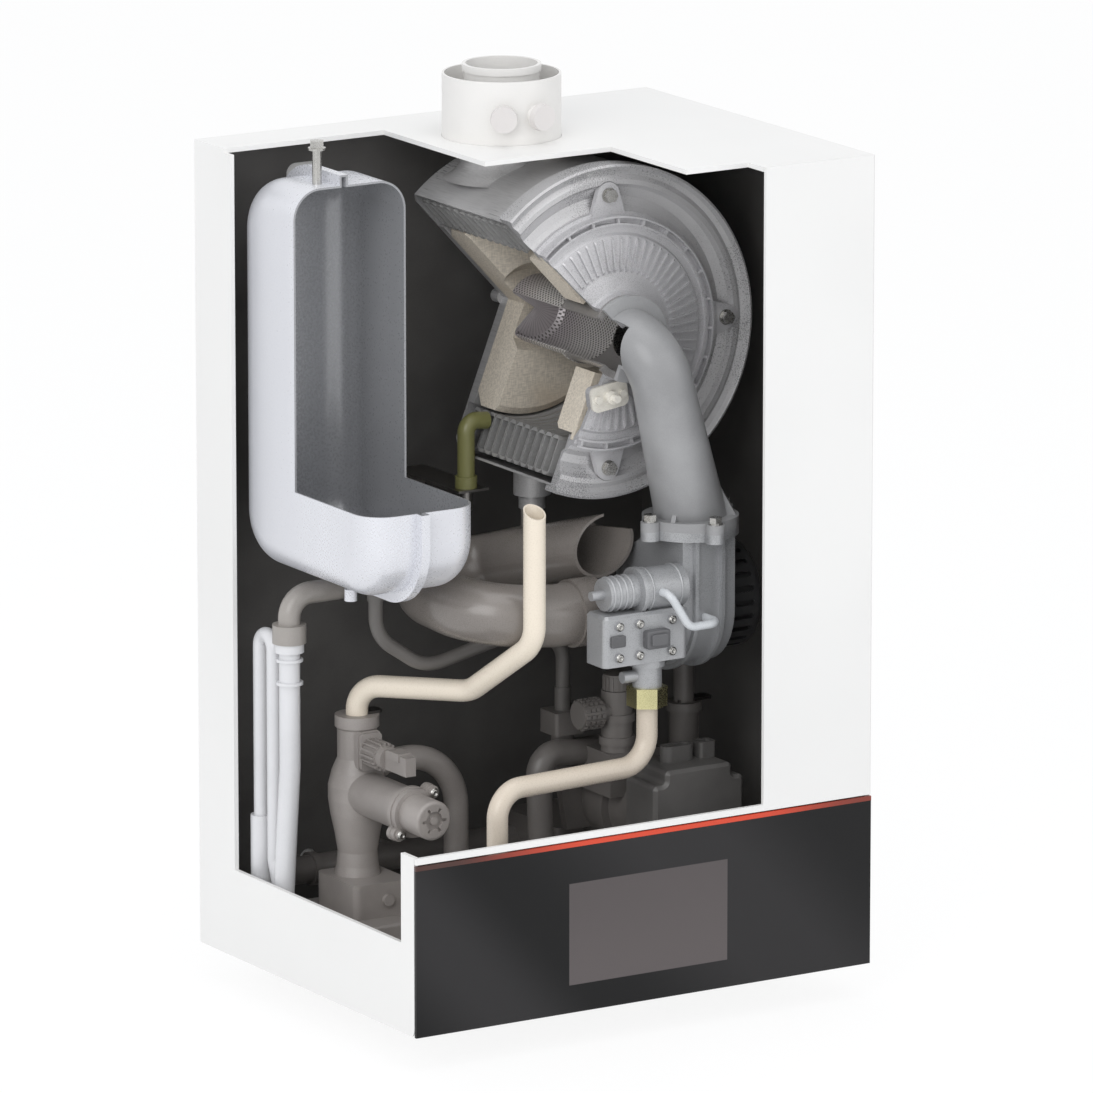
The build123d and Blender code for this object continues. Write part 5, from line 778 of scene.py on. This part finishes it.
@dataclass
class AirAndGas:
    """Mixing duct, fan, gas valve, the pipes that feed them and the intake pipe.

    Sizes are in metres. A depth runs forward from the wall, along -Y.
    """

    fan_depth: float = 0.240
    fan_z: float = 0.310
    motor_face: float = 0.165
    motor_screw_circle: float = 0.030
    motor_screw_angles: tuple[float, ...] = (40.0, 130.0, 220.0, 310.0)
    rim_sunk: float = 0.0012
    rim_radius: float = 0.0365
    rim_wire: float = 0.001
    valve_depth: float = 0.290
    valve_half: float = 0.016
    boss_height: float = 0.002
    boss_columns: tuple[float, ...] = (0.006, 0.026, 0.058)
    boss_rows: tuple[float, ...] = (0.284, 0.311)
    barrel_z: float = 0.336
    solenoid_places: tuple[float, ...] = (0.004, 0.010, 0.016, 0.022)
    solenoid_radius: float = 0.014
    solenoid_wire: float = 0.0012
    regulator_places: tuple[float, ...] = (0.040, 0.068)
    regulator_radius: float = 0.018
    regulator_wire: float = 0.0011
    connector: Box = ((0.030, -0.3135, 0.289), (0.053, -0.3045, 0.305))
    connector_latch: Box = ((0.0335, -0.316, 0.292), (0.0495, -0.3125, 0.302))
    test_plug: Box = ((-0.0025, -0.309, 0.2935), (0.0115, -0.3045, 0.3035))

    def fan(self) -> None:
        """Adds the screws on the motor's end."""
        around = np.radians(np.array(self.motor_screw_angles))
        reach = self.motor_screw_circle
        spots = [
            (self.motor_face, -self.fan_depth - reach * math.sin(t), self.fan_z + reach * math.cos(t))
            for t in around
        ]
        ScrewSet("fan_motor_screws", spots, (1, 0, 0)).build()

    def valve(self) -> None:
        """Adds the screws on the valve's bosses, the beads on its two barrels and its plugs."""
        boss_face = -self.valve_depth - self.valve_half - self.boss_height
        spots = [(x, boss_face, z) for x in self.boss_columns for z in self.boss_rows]
        ScrewSet("gas_valve_screws", spots, (0, -1, 0), 0.003, 0.002).build()
        cast = CastMetal("valve casting", (176, 177, 179), 0.4)
        axis = (0.0, -self.valve_depth, self.barrel_z)
        RingSet(
            "solenoid_beads", axis, (1, 0, 0), self.solenoid_places, self.solenoid_radius, self.solenoid_wire,
            "casting", cast,
        ).build()
        RingSet(
            "regulator_beads", axis, (1, 0, 0), self.regulator_places, self.regulator_radius,
            self.regulator_wire, "casting", cast,
        ).build()
        blocks = [soft_block(*box) for box in (self.connector, self.connector_latch, self.test_plug)]
        plug = Moulded("plug plastic", (92, 92, 94), 0.4)
        put("valve_plugs", *gathered(blocks), plug, "case", "motor_black")

    def rim(self) -> None:
        """Adds the rim of the motor's end, which lies just under its face."""
        end = (self.motor_face, -self.fan_depth, self.fan_z)
        RingSet(
            "motor_rim", end, (1, 0, 0), (-self.rim_sunk,), self.rim_radius, self.rim_wire,
            "motor_black", Moulded("rim plastic", (62, 62, 64), 0.4),
        ).build()

    def build(self) -> None:
        """Dresses the solids and adds the small pieces of the fan and the valve."""
        dress(Moulded("duct nylon", (152, 152, 153), 0.42, 0.15), "mixing_duct")
        dress(CastMetal("fan casting", (170, 171, 173), 0.42), "fan_scroll", "fan_impeller", "gas_valve")
        dress(Moulded("motor plastic", (44, 44, 45), 0.4), "fan_motor")
        dress(DrawnMetal("union nut brass", (214, 208, 160), 0.3), "union_nut")
        dress(PowderCoat("gas pipe lacquer", (212, 200, 184), 0.3), "gas_pipe")
        dress(Moulded("clear silicone", (198, 201, 204), 0.28, 0.3), "sensing_hose")
        dress(Moulded("blown intake pipe", (128, 122, 117), 0.3, 0.3, 1600.0, 0.08), "intake_pipe")
        self.fan()
        self.valve()
        self.rim()


@dataclass
class Water:
    """Vessel, hydraulic blocks, pump group, pipes and hoses."""

    diverter_x: float = -0.138
    diverter_z: float = 0.149
    ear_reach: float = 0.023
    ear_face: float = -0.218

    def build(self) -> None:
        """Dresses the solids and adds the screws of the diverter."""
        # The second colour is painted shade for the vessel's surfaces that face its middle.
        enamel = VesselEnamel("vessel enamel", (222, 223, 228), (164, 165, 168))
        dress(enamel, "vessel_left_shell", "vessel_right_shell")
        dress(Moulded("hose rubber", (104, 101, 98), 0.45), "vessel_hose")
        dress(PowderCoat("flow pipe lacquer", (233, 222, 205), 0.3), "flow_pipe")
        dress(
            Moulded("hydraulic nylon", (152, 146, 142), 0.4, 0.1),
            "diverter_body", "diverter_motor", "flow_sensor", "drip_tray", "arch_pipe",
        )
        dark = Moulded("dark hydraulic nylon", (104, 100, 97), 0.42, 0.1)
        dress(dark, "pump_body", "air_vent_cap", "relief_knob")
        dress(Moulded("controller plastic", (98, 96, 94), 0.46), "pump_controller")
        dress(DrawnMetal("ground shaft", (170, 170, 168), 0.2), "pump_rotor", "diverter_spindle")
        dress(DrawnMetal("spring wire", (90, 88, 86), 0.35), "retaining_clips")
        dress(PowderCoat("olive passivation", (122, 121, 76), 0.34), "coil_elbow")
        dress(DrawnMetal("bracket steel", (160, 158, 155), 0.34), "coil_elbow_bracket")
        dress(Moulded("drain elbow plastic", (150, 145, 140), 0.34, 0.2), "drain_elbow")
        dress(Moulded("white drain hose", (218, 218, 220), 0.32, 0.3, 1800.0, 0.04), "drain_hoses")
        across, up = self.ear_reach * math.cos(math.pi / 4), self.ear_reach * math.sin(math.pi / 4)
        ears = [(self.diverter_x + s * across, self.ear_face, self.diverter_z + s * up) for s in (1, -1)]
        ScrewSet("diverter_screws", ears, (0, -1, 0), 0.0034, 0.0024).build()


@dataclass
class Studio:
    """Floor, light and the camera of the photograph. A lamp is its name, place, size and watts."""

    azimuth: float = -31.71
    elevation: float = 13.15
    distance: float = 8.98023
    shift_right: float = 0.01063
    shift_up: float = 0.00565
    focal: float = 10611.9
    frame_width: float = 1093.0
    sensor: float = 36.0
    sight: float = 60.0
    target: Point = (0.0, -0.180, 0.350)
    lamps: tuple[tuple[str, Point, float, float], ...] = (
        ("key", (-3.0, -2.3, 2.0), 2.4, 50.0),
        ("fill", (1.6, -3.4, 1.4), 2.6, 11.0),
        ("top", (-0.2, -1.0, 3.2), 2.2, 18.0),
    )
    sky: float = 0.78
    floor_half: float = 6.0
    floor_points: int = 13
    floor_z: float = -0.030
    floor_white: float = 0.86
    floor_glow: float = 1.03

    def camera(self) -> None:
        """The camera stands back from the target, turned so that its axes are right, up and back."""
        a, e = math.radians(self.azimuth), math.radians(self.elevation)
        back = Vector((math.sin(a) * math.cos(e), -math.cos(a) * math.cos(e), math.sin(e)))
        right = (-back).cross(Vector((0, 0, 1))).normalized()
        up = right.cross(-back)
        data = bpy.data.cameras.new("photo_view")
        data.sensor_width = self.sensor
        data.lens = self.focal * self.sensor / self.frame_width
        data.clip_end = self.sight
        made = bpy.data.objects.new("photo_view", data)
        place = Vector(self.target) + back * self.distance
        place = place + right * self.shift_right + up * self.shift_up
        made.matrix_world = Matrix.Translation(place) @ Matrix((right, up, back)).transposed().to_4x4()
        bpy.context.scene.collection.objects.link(made)
        bpy.context.scene.camera = made

    def light(self) -> None:
        """Three soft area lamps and an even world that the camera, gloss and glass see as white."""
        for name, place, size, watts in self.lamps:
            data = bpy.data.lights.new(name, "AREA")
            data.size = size
            data.energy = watts
            lamp = bpy.data.objects.new(name, data)
            lamp.location = place
            aim = Vector(self.target) - Vector(place)
            lamp.rotation_euler = aim.to_track_quat("-Z", "Y").to_euler()
            bpy.context.scene.collection.objects.link(lamp)
        shader = Shader("studio", world=True)
        even = shader.node("ShaderNodeBackground", None, Color=(0.95, 0.97, 1.0, 1.0), Strength=self.sky)
        white = shader.node("ShaderNodeBackground", None, Color=(1.0, 1.0, 1.0, 1.0), Strength=1.0)
        even, white = even.outputs[0], white.outputs[0]
        mix = shader.node("ShaderNodeMixShader", None, i0=shader.shown(), i1=even, i2=white)
        shader.node("ShaderNodeOutputWorld", None, Surface=mix.outputs[0])
        bpy.context.scene.world = shader.material

    def floor(self) -> None:
        """A wide flat sheet below the pipe connections, white to the camera but for a soft shadow."""
        side = np.linspace(-self.floor_half, self.floor_half, self.floor_points)
        x, y = np.meshgrid(side, side, indexing="ij")
        points = np.stack([x, y, np.full_like(x, self.floor_z)], -1).reshape(-1, 3)
        faces = grid_faces(self.floor_points, self.floor_points, False)
        shader = Shader("pale floor")
        dust = shader.noise(30.0, 3.0)
        paper = shader.blend(dust, lin(240, 240, 240), lin(246, 246, 246))
        matt = shader.node("ShaderNodeBsdfPrincipled", None, Base_Color=paper, Roughness=0.8)
        glow = shader.node("ShaderNodeEmission", None, Color=(1.0, 1.0, 1.0, 1.0), Strength=self.floor_glow)
        seen = shader.shown() * self.floor_white
        mix = shader.node("ShaderNodeMixShader", None, i0=seen, i1=matt.outputs[0], i2=glow.outputs[0])
        shader.node("ShaderNodeOutputMaterial", None, Surface=mix.outputs[0])
        mesh = bpy.data.meshes.new("floor")
        mesh.from_pydata(points.tolist(), [], faces.tolist())
        mesh.materials.append(shader.material)
        sheet = bpy.data.objects.new("floor", mesh)
        bpy.context.scene.collection.objects.link(sheet)

    def build(self) -> None:
        """Sets the view transform and makes floor, light and camera."""
        bpy.context.scene.view_settings.view_transform = "Standard"
        self.camera()
        self.light()
        self.floor()


def main() -> None:
    """Builds the studio and each sub-assembly in order."""
    logging.basicConfig(level=logging.INFO, format="%(name)s: %(message)s")
    for part in (Studio(), Case(), ControlUnit(), Flue(), HeatExchanger(), AirAndGas(), Water()):
        log.info("building %s", type(part).__name__)
        part.build()


if __name__ == "__main__":
    main()
